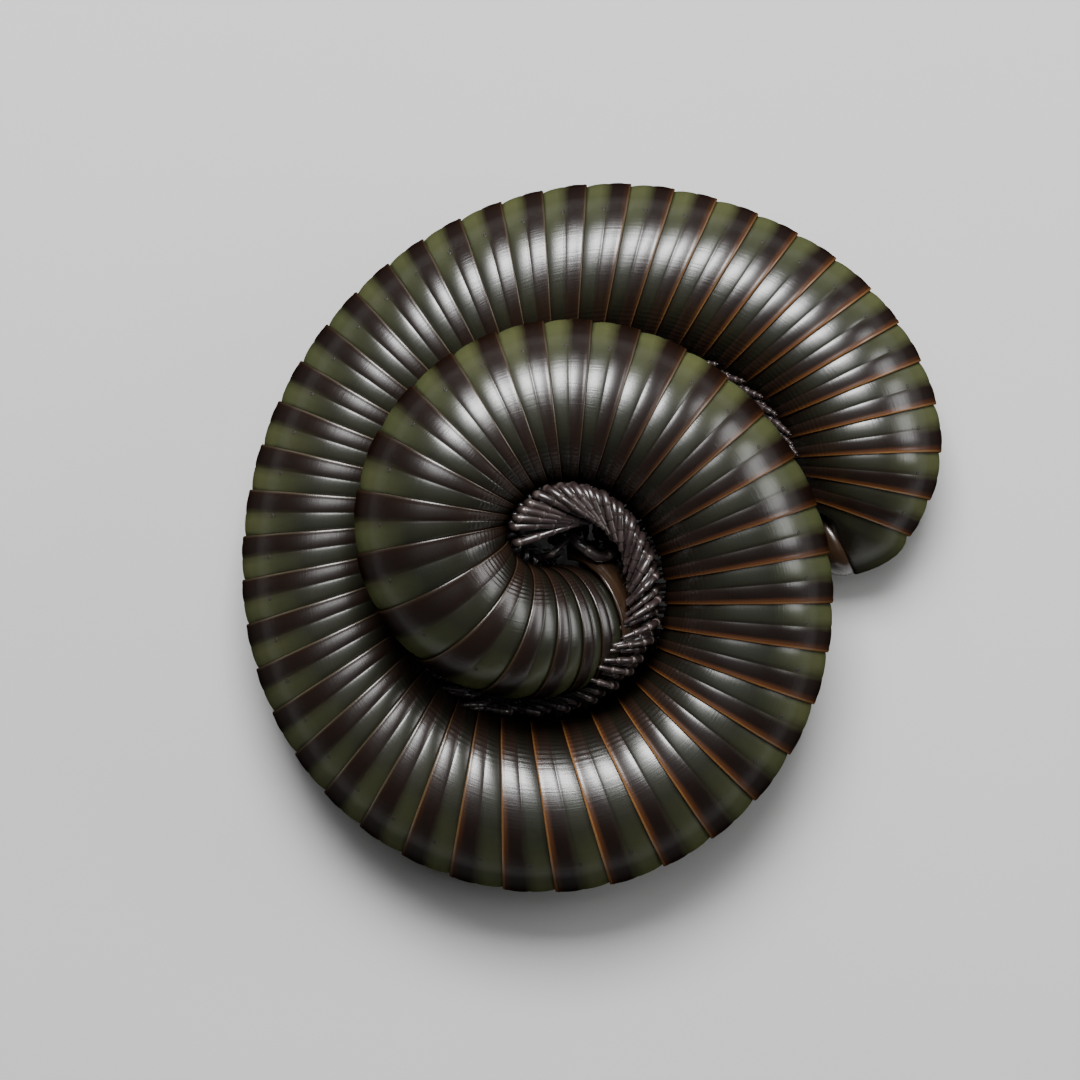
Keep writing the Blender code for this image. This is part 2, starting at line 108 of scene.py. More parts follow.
# The striae run between these angles from the back, in steps of this many degrees; each is a saw
# of three points. The rest of the way round has a point every SMOOTH_STEP degrees.
STRIA_ANGLES = (112.0, 172.0)
STRIA_STEP = 1.25
STRIA_SAW = (0.0, 0.45, 1.0)
SMOOTH_STEP = 4.0

# A gland pore from its foot to its floor: half width and height, both in pore radii; its place
# on the ring, as a share of the ring's length; and how many of the foremost rings have none.
PORE_PROFILE = ((1.5, -0.25), (1.15, 0.16), (0.8, 0.12), (0.55, -0.2), (0.2, -0.3))
PORE_SIDES = 12
PORE_PLACE = 0.56
PORELESS_AT_NECK = 4

# The preanal ring from the valves forward, in the route's own millimetres: the back's point
# and the belly's point in plan, then the middle's height, the half height and the colour place.
TELSON_LOOPS = (
    ((21.55, -0.8), (18.75, 4.3), 3.55, 2.75, 0.45),
    ((21.8, -1.15), (18.65, 4.55), 3.55, 3.15, 0.45),
    ((21.9, -1.2), (18.7, 4.6), 3.58, 3.3, 0.46),
    ((22.15, -1.14), (18.55, 4.6), 3.64, 3.36, 0.48),
    ((22.9, -0.9), (18.3, 4.55), 3.85, 3.65, 0.5),
    ((23.75, -0.55), (18.05, 4.5), 4.02, 3.92, 0.52),
    ((24.5, -0.12), (17.85, 4.45), 4.2, 4.15, 0.54),
    ((25.15, 0.35), (17.65, 4.42), 4.35, 4.32, 0.56),
    ((25.6, 0.85), (17.5, 4.42), 4.46, 4.44, 0.6),
    ((25.9, 1.4), (17.4, 4.45), 4.54, 4.5, 0.65),
)
# The valves' dome: its rise over the ring's end (mm) and its size as a share of the end's.
VALVE_DOME = (
    (0.0, 0.9), (0.25, 0.94), (0.6, 0.925), (1.0, 0.87), (1.4, 0.775), (1.75, 0.65), (2.05, 0.48),
    (2.25, 0.3), (2.35, 0.12),
)
VALVE_SEAM = 0.06                   # half the gap between the valves (mm)
VALVE_FLOOR = 0.02                  # the valves' least height over the floor (mm)
# The soft neck under the shield: how far past the foremost rim (mm), and its share of the girth.
NECK_LOOPS = ((0.35, 0.9), (1.0, 0.86), (1.7, 0.8), (2.3, 0.7), (2.6, 0.5))
# The plate under the valves: its half thickness, half length and half width in millimetres.
SCALE_HALF_SIZES = (0.3, 0.6, 1.5)

TRUNK_GIRTH = 6.4                   # the trunk's usual girth, for the leg poses (mm)


def lifted(height, angle, more):
    """The pose's angle and height on a leg turned up by more degrees, but no wider in plan."""
    widest = (TRUNK_GIRTH + height) * math.cos(math.radians(angle))
    return (angle + more, widest / math.cos(math.radians(angle + more)) - TRUNK_GIRTH)


def swept(knee, back, reach, rise=0):
    """A leg that rises to a knee at the first height and sweeps back and inward from there."""
    shin = lifted((knee + reach) / 2, 19.5, 0.9 * rise)
    return ((0.0, -4, -0.6), (0.0, 5, 0.4), (0.1, *lifted(knee, 20, 0.6 * rise)),
            (0.1 + 0.45 * back, *shin), (back, *lifted(reach, 15, rise)))


# Leg poses: root, hip, knee, shin and tip as distance back toward the tail (mm), angle from the
# belly's midline (degrees) and height over the ring (mm). The tables are by the route's turn; the
# upper legs are the animal's left ones, since it lies on its right side.
PRESSED = ((0.0, 4, -0.6), (0.0, 12, 0.3), (0.1, 20, 0.42), (1.0, 26, 0.42), (2.0, 31, 0.36))
TUCKED = ((0.0, -4, -0.6), (0.1, -6, 0.3), (0.2, -9, 0.5), (0.7, -22, 0.7), (1.3, -38, 0.6))
CURLED = ((0.0, 8, -0.6), (0.1, 14, 0.3), (0.2, 20, 0.5), (0.7, 33, 0.6), (1.3, 45, 0.5))
UPPER_LEGS = (
    (0, PRESSED), (246, PRESSED), (260, swept(1.0, 2.0, 1.55)), (271, swept(1.3, 1.8, 2.3, 3)),
    (283, swept(1.3, 1.4, 2.9, 12)), (296, swept(1.35, 1.5, 3.15, 24)),
    (309, swept(1.15, 1.4, 3.35, 24)), (332, swept(1.0, 1.45, 3.4, 21)),
    (345, swept(0.9, 1.7, 3.4, 15)), (358, swept(0.95, 2.0, 3.45, 10)),
    (388, swept(0.85, 2.45, 3.45, 4)), (411, swept(0.5, 2.35, 3.2)), (435, swept(0.4, 2.7, 3.3)),
    (461, swept(0.5, 2.65, 3.8)), (475, swept(0.5, 2.6, 4.2)), (550, swept(0.5, 2.6, 4.2)),
    (556, TUCKED), (654, TUCKED),
)
LOWER_LEGS = (
    (0, PRESSED), (320, PRESSED), (356, swept(0.9, 2.0, 4.0)), (440, swept(0.5, 2.6, 4.4)),
    (608, swept(0.5, 2.6, 4.2)), (616, CURLED), (654, CURLED),
)
# Legs that gather at one point in the hollow: the turns between which they come to it, as four
# ends of two soft steps, the point in the route's frame (mm), how far they reach to it (mm) and
# the knee's place in a pose.
GATHERED = {
    "left": (
        ((480, 496, 548, 556), (-0.05, 2.95, 18.6), 5.3, (0.1, 19, 0.55)),
        ((553, 560, 584, 590), (-3.0, 1.0, 8.0), 5.3, (0.1, -8, 0.5)),
        ((587, 592, 598, 603), (-1.35, 2.0, 14.6), 5.3, (0.1, 19, 0.9)),
        ((602, 606, 654, 656), (-2.2, 0.8, 8.0), 5.3, (0.1, -8, 0.5)),
    ),
    "right": (
        ((366, 386, 428, 440), (0.3, 2.3, 8.0), 7.5, (0.1, 19, 0.55)),
        ((430, 450, 532, 540), (-0.9, 1.3, 8.0), 6.8, (0.1, 19, 0.55)),
        ((538, 548, 596, 602), (-2.4, 0.4, 5.0), 6.8, (0.1, 10, 0.5)),
        ((598, 604, 654, 656), (-3.3, 1.0, 3.0), 6.8, (0.1, 10, 0.5)),
    ),
}
PAIR_DROP = (3.0, 12.0)             # degrees by which a ring's second leg lies lower: rope, fan
FAN_TURNS = (466, 492)              # the turns between which the rope of legs becomes the fan
DROP_AT_TIP = 0.08                  # how much lower its tip lies for each of those degrees (mm)

# Where a ring's two legs stand along it, the joints along a leg, as shares of its length, the
# half thickness of each segment (mm), and how a segment swells from its start to its end.
LEG_PLACES = (0.28, 0.74)
LEG_JOINTS = (0.0, 0.2, 0.42, 0.6, 0.76, 0.9, 1.0)
LEG_GIRTHS = (0.28, 0.3, 0.3, 0.27, 0.22, 0.16)
JOINT_PROFILE = ((0.0, 0.88), (0.07, 0.95), (0.45, 0.98), (0.84, 1.04), (0.95, 1.02), (1.0, 0.88))
LEG_SIDES = 10
# The claw past the last segment: how far along, and the half thickness there.
CLAW = ((0.05 * MM, 0.07 * MM), (0.16 * MM, 0.045 * MM), (0.28 * MM, 0.01 * MM))
LEG_SLIP = 0.06                     # how far a leg may slip along the body at each joint (mm)
SWING_SHARE = 0.4                   # how much of its own swing a leg takes up at each joint
LEAST_LEG_HEIGHT = 0.3              # how near a leg's middle line may come to the floor (mm)
LEGLESS_AT_TAIL = 3                 # how many rings carry no legs
SINGLE_PAIR_RINGS = 3               # how many of the foremost rings carry one pair

# The neck shield: how far each lobe goes round from the back (degrees), its length and
# thickness (mm), and where its striae lie, as shares of the length.
COLLUM_HALF = 171.0
COLLUM_LENGTH = 2.25
COLLUM_THICKNESS = 0.2
COLLUM_SLIDE = 2.1                  # how far the lobes' front edge is drawn to the belly side (mm)
COLLUM_STRIAE = (0.22, 0.42, 0.62, 0.8)
COLLUM_SIDES = 121                  # points round the shield
COLLUM_ROWS = 30                    # rows of points along it

# Points round each ball-like piece and from its one pole to the other.
HEAD_GRID = (192, 120)
JAW_GRID = (64, 44)
LENS_GRID = (12, 8)
SCALE_GRID = (40, 24)

# The head's own frame, as in the solids: +X its right side, +Y the face, +Z the crown (mm).
HEAD_CENTRE = (2.5, -0.9, 8.2)
HEAD_HALF_SIZES = (3.5, 2.5, 3.3)
HEAD_TURN = 115.0                   # which way the face looks in plan (degrees)
HEAD_DIP = 20.0                     # how far it looks down (degrees)
# The middle of the right eye patch, then the middle and half sizes of the jaw and chin plate.
EYE_PLACE = (3.3, 1.3, 1.55)
MANDIBLE = ((3.45, 0.5, -1.7), (0.64, 1.22, 1.22))
CHIN_PLATE = ((0.0, -0.3, -3.85), (1.55, 1.05, 0.42))
FEELERS = {
    "left": ((-1.96, 2.3, 0.12), (-3.6, 1.7, 0.35), (-6.1, -0.2, 0.4), (-7.0, -0.68, -1.06),
             (-7.5, 0.14, -1.77), (-7.65, 1.2, -2.35), (-7.35, 2.2, -2.6)),
    "right": ((2.0, 2.5, 0.1), (2.9, 3.2, 0.0), (3.0, 4.1, -1.0), (2.2, 4.8, -2.2),
              (1.2, 5.2, -3.4), (0.6, 5.2, -4.2)),
}
# The joints along a feeler, as shares of its length, and each segment's half thickness (mm).
FEELER_JOINTS = (0.0, 0.07, 0.25, 0.43, 0.61, 0.79, 0.95, 1.0)
FEELER_GIRTHS = (0.34, 0.38, 0.4, 0.42, 0.46, 0.5, 0.3)
FEELER_SIDES = 20
FEELER_SWELLING = 1.3
FEELER_TIP = ((0.05 * MM, 0.2 * MM),)
# Each of the four sense cones on a tip: distance along it and half thickness there (mm).
CONE = ((0.0, 0.055), (0.08, 0.05), (0.16, 0.03), (0.2, 0.006))
CONE_SIDES = 8
CONE_REACH = 0.1                    # how far they stand from the feeler's middle line (mm)

# The camera looks straight down: its place in the route's frame and its focal length, both in
# millimetres.
CAMERA_PLACE = (-4.07, 1.63, 357.0)
CAMERA_LENS = 143.3

# The soft lights: name, place and size in metres.
LIGHTS = (
    ("key_light", (-0.02, 0.25, 0.43), (0.4, 0.46)),
    ("core_light", (-0.02, 0.26, 0.4), (0.22, 0.18)),
    ("top_light", (0.0, -0.02, 0.6), (0.6, 0.6)),
    ("side_light", (0.44, 0.1, 0.21), (0.34, 0.18)),
)
FLOOR_HALF = 1.6                    # half the floor's width (m)
FLOOR_GAP = 0.02                    # how far the floor lies under the body, so no faces meet (mm)

TRUNK_NODES = [name for name in sorted(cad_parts) if name.startswith("rings_")]


def natural_spline(knots, values):
    """A smooth curve through the values, as a function of the knots' quantity."""
    knots = np.asarray(knots, float)
    values = np.asarray(values, float)
    gaps = np.diff(knots)
    slopes = np.diff(values, axis=0) / gaps[:, None]
    count = len(knots)
    system = np.eye(count)
    right = np.zeros_like(values)
    for i in range(1, count - 1):
        system[i, i - 1:i + 2] = gaps[i - 1], 2.0 * (gaps[i - 1] + gaps[i]), gaps[i]
        right[i] = 6.0 * (slopes[i] - slopes[i - 1])
    bends = np.linalg.solve(system, right)

    def curve(at):
        at = np.atleast_1d(np.asarray(at, float))
        k = np.clip(np.searchsorted(knots, at) - 1, 0, count - 2)
        h = gaps[k][:, None]
        a = ((knots[k + 1] - at)[:, None]) / h
        b = 1.0 - a
        cubic = (a ** 3 - a) * bends[k] + (b ** 3 - b) * bends[k + 1]
        return a * values[k] + b * values[k + 1] + cubic * h ** 2 / 6.0

    return curve


def head_matrix(shift):
    """Places the head's own frame in the model's frame."""
    turn = math.radians(HEAD_TURN)
    dip = math.radians(HEAD_DIP)
    face = Vector((math.cos(turn) * math.cos(dip), math.sin(turn) * math.cos(dip), -math.sin(dip)))
    crown = face.cross(Vector((0, 0, 1))).normalized()
    right = face.cross(crown)
    matrix = Matrix((right, face, crown)).transposed().to_4x4()
    matrix.translation = Vector(HEAD_CENTRE) * MM + Vector(shift)
    return matrix


def route_shift():
    """How far the route's own frame lies from the model's, read off the left eye's solid."""
    low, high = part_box("eye_left")
    place = Vector((-EYE_PLACE[0], EYE_PLACE[1], EYE_PLACE[2])) * MM
    return np.array((low + high) / 2 - head_matrix((0, 0, 0)) @ place)


SHIFT = route_shift()
HEAD = head_matrix(SHIFT)


class Route:
    """The body's centreline, measured along its length from the tail."""

    def __init__(self):
        table = np.array(ROUTE, float)
        turns = np.arange(table[0, 0], table[-1, 0] + ROUTE_STEP / 2, ROUTE_STEP)
        reach, height, girth = natural_spline(table[:, 0], table[:, 1:])(turns).T * MM
        angle = np.radians(turns)
        plain = np.stack([reach * np.cos(angle), reach * np.sin(angle), height], axis=1)
        steps = np.linalg.norm(np.diff(plain, axis=0), axis=1)
        self.points = plain + SHIFT
        self.lengths = np.concatenate([[0.0], np.cumsum(steps)])
        self.turns = turns
        self.girths = girth
        ways = np.gradient(plain, self.lengths, axis=0)
        self.ways = ways / np.linalg.norm(ways, axis=1)[:, None]
        level = np.hypot(self.ways[:, 0], self.ways[:, 1])
        yaw, lean_share = (
            np.interp(turns, [row[0] for row in PLANES], [row[k] for row in PLANES]) for k in (1, 2)
        )
        yaw = np.radians(yaw)
        lean = -lean_share * np.arctan2(self.ways[:, 2], level)
        heading = np.arctan2(self.ways[:, 1], self.ways[:, 0]) + yaw
        across = np.stack([np.sin(heading), -np.cos(heading), 0.0 * heading], axis=1)
        self.backs = across / np.cos(yaw)[:, None]
        self.lefts = np.stack([
            np.cos(heading) * np.sin(lean), np.sin(heading) * np.sin(lean), np.cos(lean),
        ], axis=1)

    def frames(self, lengths):
        """Centres, ways to the head, back, left side and girth at each of these lengths."""
        lengths = np.atleast_1d(lengths)
        centres, ways, backs, lefts = (
            np.stack([np.interp(lengths, self.lengths, column) for column in table.T], axis=1)
            for table in (self.points, self.ways, self.backs, self.lefts)
        )
        ways = ways / np.linalg.norm(ways, axis=1)[:, None]
        girths = np.interp(lengths, self.lengths, self.girths)
        return centres, ways, backs, lefts, girths

    def turn(self, length):
        return float(np.interp(length, self.lengths, self.turns))


ROUTE_LINE = Route()
RIM_LINE = natural_spline([n for n, _ in RIM_KNOTS], [[s * MM] for _, s in RIM_KNOTS])


def rim(number):
    """Where along the route the rear rim of this ring is, counted from the tail."""
    return float(RIM_LINE(number)[0, 0])


def smooth_share(value, low, high):
    """0 below low, 1 above high, and a soft step between."""
    share = np.clip((value - low) / (high - low), 0.0, 1.0)
    return share * share * (3.0 - 2.0 * share)


class Shape:
    """Points, faces and point values of one piece while it is put together."""

    def __init__(self, *value_names):
        self.points = []
        self.faces = []
        self.values = {name: [] for name in value_names}
        self.count = 0

    def add(self, points, faces, **values):
        points = np.asarray(points, float).reshape(-1, 3)
        self.points.append(points)
        self.faces.extend(tuple(int(i) + self.count for i in face) for face in faces)
        for name, store in self.values.items():
            store.append(np.broadcast_to(np.asarray(values.get(name, 0.0), float), len(points)))
        self.count += len(points)

    def add_loops(self, loops, caps=(True, True), **values):
        """Loops of equally many points, joined in a row; values are one per point."""
        rows, sides = loops.shape[:2]
        first = (np.arange(rows - 1)[:, None] * sides + np.arange(sides)[None, :]).ravel()
        following = (np.arange(rows - 1)[:, None] * sides
                     + (np.arange(sides)[None, :] + 1) % sides).ravel()
        faces = list(np.stack([first, following, following + sides, first + sides], axis=1))
        if caps[0]:
            faces.append(range(sides - 1, -1, -1))
        if caps[1]:
            faces.append(range((rows - 1) * sides, rows * sides))
        flat = {name: np.asarray(value, float).ravel() for name, value in values.items()}
        self.add(loops.reshape(-1, 3), faces, **flat)

    def finish(self, name, finish):
        mesh = bpy.data.meshes.new(name)
        mesh.from_pydata(np.concatenate(self.points).tolist(), [], self.faces)
        for value_name, store in self.values.items():
            attribute = mesh.attributes.new(value_name, "FLOAT", "POINT")
            attribute.data.foreach_set("value", np.concatenate(store).astype(np.float32))
        mesh.materials.append(finish)
        mesh.shade_smooth()
        mesh.validate()
        made = bpy.data.objects.new(name, mesh)
        bpy.context.scene.collection.objects.link(made)
        return made


def hold(piece, slot, *nodes):
    """The piece rides on the model and stands for the nodes, which it hides; the slot is not used.
    """
    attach(piece, "root")
    if nodes:
        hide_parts(*nodes)


# Which of a colour mix node's inputs are its factor and its two colours, and its colour output.
MIX_INPUTS = (0, 6, 7)
MIX_OUTPUT = 2


class Finish:
    """A new material, with short ways to add nodes and join them."""

    def __init__(self, name, roughness, coat=0.0, coat_roughness=0.05):
        self.material = bpy.data.materials.new(name)
        self.material.use_nodes = True
        self.tree = self.material.node_tree
        self.shader = self.tree.nodes["Principled BSDF"]
        self.shader.inputs["Roughness"].default_value = roughness
        self.shader.inputs["Coat Weight"].default_value = coat
        self.shader.inputs["Coat Roughness"].default_value = coat_roughness

    def node(self, kind, **inputs):
        """A node of this kind; each input takes a value or another node's output."""
        made = self.tree.nodes.new("ShaderNode" + kind)
        for name, value in inputs.items():
            target = made.inputs[name.replace("_", " ")]
            if isinstance(value, bpy.types.NodeSocket):
                self.tree.links.new(value, target)
            else:
                target.default_value = value
        return made

    def value(self, name):
        """A number that the mesh carries at each of its points."""
        made = self.tree.nodes.new("ShaderNodeAttribute")
        made.attribute_name = name
        return made.outputs["Fac"]

    def sum(self, first, second, operation="ADD"):
        """The two numbers added, or joined by another operation."""
        made = self.tree.nodes.new("ShaderNodeMath")
        made.operation = operation
        for socket, value in zip(made.inputs, (first, second)):
            if isinstance(value, bpy.types.NodeSocket):
                self.tree.links.new(value, socket)
            else:
                socket.default_value = value
        return made.outputs[0]

    def ramp(self, factor, stops):
        """Colours or greys by the factor; each stop is its place and its colour."""
        made = self.node("ValToRGB", Fac=factor)
        ramp = made.color_ramp
        while len(ramp.elements) < len(stops):
            ramp.elements.new(1.0)
        for element, (place, colour) in zip(ramp.elements, stops):
            element.position = place
            channels = colour if isinstance(colour, (tuple, list)) else (colour,) * 3
            element.color = (*channels, 1.0)
        return made.outputs["Color"]

    def mix(self, factor, first, second, blend="MIX"):
        """The two colours mixed by the factor."""
        made = self.tree.nodes.new("ShaderNodeMix")
        made.data_type = "RGBA"
        made.blend_type = blend
        for number, value in zip(MIX_INPUTS, (factor, first, second)):
            socket = made.inputs[number]
            if isinstance(value, bpy.types.NodeSocket):
                self.tree.links.new(value, socket)
            elif isinstance(value, (tuple, list)):
                socket.default_value = (*value, 1.0)
            else:
                socket.default_value = value
        return made.outputs[MIX_OUTPUT]

    def noise(self, scale, detail=3.0, roughness=0.5, vector=None):
        """Noise over the piece's own coordinates, or over the given vector."""
        made = self.node("TexNoise", Scale=scale, Detail=detail, Roughness=roughness)
        if vector is None:
            vector = self.node("TexCoord").outputs["Object"]
        self.tree.links.new(vector, made.inputs["Vector"])
        return made.outputs["Fac"]

    def bump(self, height, strength, distance, before=None):
        """A bumped normal, on top of another one if there is one before."""
        made = self.node("Bump", Height=height, Strength=strength, Distance=distance)
        if before is not None:
            self.tree.links.new(before, made.inputs["Normal"])
        return made.outputs["Normal"]

    def set(self, name, socket):
        """Joins a node's output to one of the shader's inputs."""
        self.tree.links.new(socket, self.shader.inputs[name])


def colour(value):
    return tuple(value)[:3]


# How the fine scratches are stretched: along a ring and round the body.
STREAK_STRETCH = (0.3, 46.0)


def shell_finish(paint):
    """Glossy ring shell: olive in front, dark brown behind, a warm thin rim, striped belly."""
    # Place runs from a ring's rear rim (0) to its front (1), around from the back's midline (0)
    # to the belly's (1), and number from the tail (0) to the neck (1).
    made = Finish("banded_shell", 0.4, coat=0.15, coat_roughness=0.3)
    made.shader.inputs["Specular IOR Level"].default_value = 0.0
    made.shader.inputs["Coat IOR"].default_value = 4.0
    place = made.value("place")
    around = made.value("around")
    number = made.value("number")
    cloud = made.noise(260.0, 3.0, 0.55)
    patch = made.noise(90.0, 2.0, 0.5)
    waver = made.sum(made.sum(cloud, 0.5, "SUBTRACT"), 0.17, "MULTIPLY")
    shifted = made.sum(place, waver)
    olive = colour(paint.olive)
    dark = colour(paint.dark_band)
    flank = colour(paint.flank)
    belly = colour(paint.belly)
    halfway = tuple(0.5 * a + 0.5 * b for a, b in zip(dark, olive))
    # Each ramp's last stop darkens the band at the ring's front (place 1), where it runs in under
    # the next ring's rim: painted shade of that rim.
    back_bands = made.ramp(shifted, (
        (0.1, dark), (0.4, dark), (0.52, halfway), (0.68, olive), (0.93, olive),
        (1.0, tuple(0.45 * c for c in olive)),
    ))
    flank_bands = made.ramp(shifted, (
        (0.1, dark), (0.42, dark), (0.6, flank), (0.88, flank),
        (1.0, tuple(0.6 * c for c in flank)),
    ))
    belly_bands = made.ramp(shifted, (
        (0.1, belly), (0.46, belly), (0.6, tuple(0.6 * c for c in flank)),
        (1.0, tuple(0.5 * c for c in belly)),
    ))
    to_flank = made.ramp(made.sum(around, made.sum(waver, 0.7, "MULTIPLY")),
                         ((0.14, 0.0), (0.42, 1.0)))
    to_belly = made.ramp(around, ((0.56, 0.0), (0.74, 1.0)))
    bands = made.mix(to_flank, back_bands, flank_bands)
    bands = made.mix(to_belly, bands, belly_bands)
    worn = made.ramp(patch, ((0.35, (0.8, 0.8, 0.8)), (0.7, (1.18, 1.14, 1.05))))
    bands = made.mix(0.8, bands, worn, "MULTIPLY")
    edge = made.sum(place, made.sum(waver, 0.12, "MULTIPLY"))
    warm_share = made.ramp(edge, ((0.03, 1.0), (0.09, 0.7), (0.17, 0.0)))
    # The warm rim is the ring's own colour, but it is made strong only on the tail's rings and on
    # about rings 38 to 52, the stretches of the coil where light shines through the thin rims, and
    # faint elsewhere: painted light. The same factor picks the warm or the dull edge line.
    along = made.ramp(number, (
        (0.12, 1.0), (0.22, 0.03), (0.5, 0.03), (0.57, 1.0), (0.7, 0.85), (0.8, 0.03),
    ))
    inward = made.ramp(around, ((0.06, 0.35), (0.34, 1.0)))
    lit_rim_share = made.sum(along, inward, "MULTIPLY")
    warm_share = made.sum(warm_share, made.sum(lit_rim_share, 0.07, "MAXIMUM"), "MULTIPLY")
    bands = made.mix(warm_share, bands, colour(paint.rim))
    # The thin pale line at a ring's rear edge is partly the rim's own pale margin and partly a
    # painted highlight where the rim's edge catches the light; where the rim isn't warm, it is a
    # pale olive painted glint.
    edge_and_glint_share = made.ramp(edge, ((0.0, 1.0), (0.03, 0.8), (0.052, 0.0)))
    edge_and_glint_share = made.sum(edge_and_glint_share, made.ramp(patch, ((0.3, 0.35), (0.65, 1.0))), "MULTIPLY")
    edge_and_glint_share = made.sum(edge_and_glint_share, made.sum(inward, 0.8, "MULTIPLY"), "MULTIPLY")
    edge_and_glint_share = made.sum(edge_and_glint_share, made.ramp(number, ((0.84, 1.0), (0.9, 0.35))), "MULTIPLY")
    bands = made.mix(edge_and_glint_share, bands,
                     made.mix(along, colour(paint.dull_edge_and_glint), colour(paint.edge)))
    # The colour darkens in step with the striae's depth (the value named groove): painted shade in
    # the grooves.
    made.set("Base Color", made.mix(made.sum(made.value("groove"), 0.7, "MULTIPLY"), bands,
                                     tuple(0.3 * c for c in belly)))
    streaks = made.node(
        "CombineXYZ", X=made.sum(place, STREAK_STRETCH[0], "MULTIPLY"),
        Y=made.sum(around, STREAK_STRETCH[1], "MULTIPLY"),
        Z=made.sum(number, RING_COUNT, "MULTIPLY")).outputs[0]
    scratch = made.noise(3.2, 4.0, 0.6, streaks)
    pores = made.noise(1500.0, 3.0, 0.6)
    roughness = made.ramp(
        made.sum(made.sum(scratch, 0.6, "MULTIPLY"), made.sum(cloud, 0.4, "MULTIPLY")),
        ((0.3, 0.26), (0.7, 0.5)))
    made.set("Roughness", roughness)
    normal = made.bump(scratch, 0.16, 0.00006)
    normal = made.bump(pores, 0.1, 0.00003, normal)
    normal = made.bump(patch, 0.25, 0.00012, normal)
    made.set("Normal", normal)
    made.set("Coat Normal", made.bump(scratch, 0.3, 0.00005))
    # The back, which stands at the coil's outside, is duller than the flank.
    made.set("Coat Weight", made.ramp(around, (
        (0.08, 0.005), (0.2, 0.03), (0.3, 0.2), (0.72, 0.2), (0.9, 0.06),
    )))
    return made.material


def horn_finish(name, dark, light, roughness, coat, pale_at_joint):
    """Purplish brown horn, paler at the joints where the value named joint is 1."""
    made = Finish(name, roughness, coat=coat, coat_roughness=0.08)
    mottle = made.noise(700.0, 4.0, 0.6)
    tone = made.mix(made.ramp(mottle, ((0.3, 0.0), (0.72, 1.0))), dark, light)
    tone = made.mix(made.value("joint"), tone, pale_at_joint)
    # Painted shade: a leg darkens toward its root, where the value named base is 1, as if in the
    # shadow under the body.
    tone = made.mix(made.sum(made.value("base"), 0.9, "MULTIPLY"), tone,
                    tuple(0.3 * c for c in dark))
    made.set("Base Color", tone)
    made.set("Roughness", made.ramp(mottle, ((0.3, roughness * 0.8), (0.7, roughness * 1.3))))
    grain = made.noise(2600.0, 3.0, 0.6)
    made.set("Normal", made.bump(grain, 0.2, 0.00003, made.bump(mottle, 0.2, 0.00005)))
    return made.material


def finish_named(name, make, *values):
    """The material of this name, made on first use."""
    return bpy.data.materials.get(name) or make(*values)


def dark_shell(paint):
    dark = colour(paint.head)
    return finish_named("dark_horn", horn_finish, "dark_horn", tuple(0.7 * c for c in dark), dark,
                        0.3, 0.6, colour(paint.joint))


def leg_horn(paint):
    light = colour(paint.leg)
    return finish_named("leg_horn", horn_finish, "leg_horn", tuple(0.45 * c for c in light), light,
                        0.34, 0.5, colour(paint.joint))


def around_angles():
    """Angles round the body from the back, closer together where the belly's striae run."""
    low, high = STRIA_ANGLES
    coarse = list(np.arange(0.0, low, SMOOTH_STEP))
    fine = list(np.arange(low, high, STRIA_STEP))
    belly = list(np.arange(high, 180.0, SMOOTH_STEP))
    half = coarse + fine + belly
    return np.array(half + [180.0] + [360.0 - a for a in reversed(half[1:])])


def stria_depths(angles):
    """How deep the saw of the striae lies at each angle, from 0 to 1."""
    low, high = STRIA_ANGLES
    folded = np.minimum(angles, 360.0 - angles)
    step = np.rint((folded - low) / STRIA_STEP).astype(int)
    saw = np.array(STRIA_SAW)[np.mod(step, len(STRIA_SAW))]
    inside = (folded > low - 0.1) & (folded < high + 0.1)
    return np.where(inside, saw * smooth_share(folded, low, low + 16.0), 0.0)


def body_loops(lengths, drops, angles, belly_flat):
    """Loops round the route: drops is how far each point lies under the girth."""
    centres, _, backs, lefts, girths = ROUTE_LINE.frames(lengths)
    turn = np.radians(angles)
    belly = np.clip(-np.cos(turn), 0.0, 1.0) ** 6
    reach = girths[:, None] * (1.0 - belly_flat * belly)[None, :] - drops
    round_way = (backs[:, None, :] * np.cos(turn)[None, :, None]
                 + lefts[:, None, :] * np.sin(turn)[None, :, None])
    loops = centres[:, None, :] + round_way * reach[:, :, None]
    loops[:, :, 2] = np.maximum(loops[:, :, 2], 0.0)
    return loops


def telson_loops(angles):
    """The preanal ring's loops, from the valves forward to under the last ring's rim."""
    turn = np.radians(angles)
    loops = []
    for back, belly, middle, half_height, _ in TELSON_LOOPS:
        back, belly = np.array(back), np.array(belly)
        centre = np.array([*(back + belly) / 2, middle])
        out = np.array([*(back - belly) / 2, 0.0])
        loop = (centre + out * np.cos(turn)[:, None]
                + np.array([0.0, 0.0, half_height]) * np.sin(turn)[:, None]) * MM + SHIFT
        loop[:, 2] = np.maximum(loop[:, 2], 0.0)
        loops.append(loop)
    return np.array(loops)


def body_point(length, back_shift, angle, height, side):
    """A point near the ring at this length: angle from the belly line, height over the skin."""
    centres, ways, backs, lefts, girths = ROUTE_LINE.frames(length)
    turn = math.radians(angle)
    outward = lefts[0] * math.sin(turn) * side - backs[0] * math.cos(turn)
    return centres[0] + outward * (girths[0] + height) - ways[0] * back_shift


def mixed_pose(poses, turn):
    """The pose at this turn of the coil, between the two poses nearest to it."""
    for (low, first), (high, second) in zip(poses, poses[1:]):
        if turn <= high:
            share = float(smooth_share(turn, low, high))
            return np.array(first) * (1.0 - share) + np.array(second) * share
    return np.array(poses[-1][1])


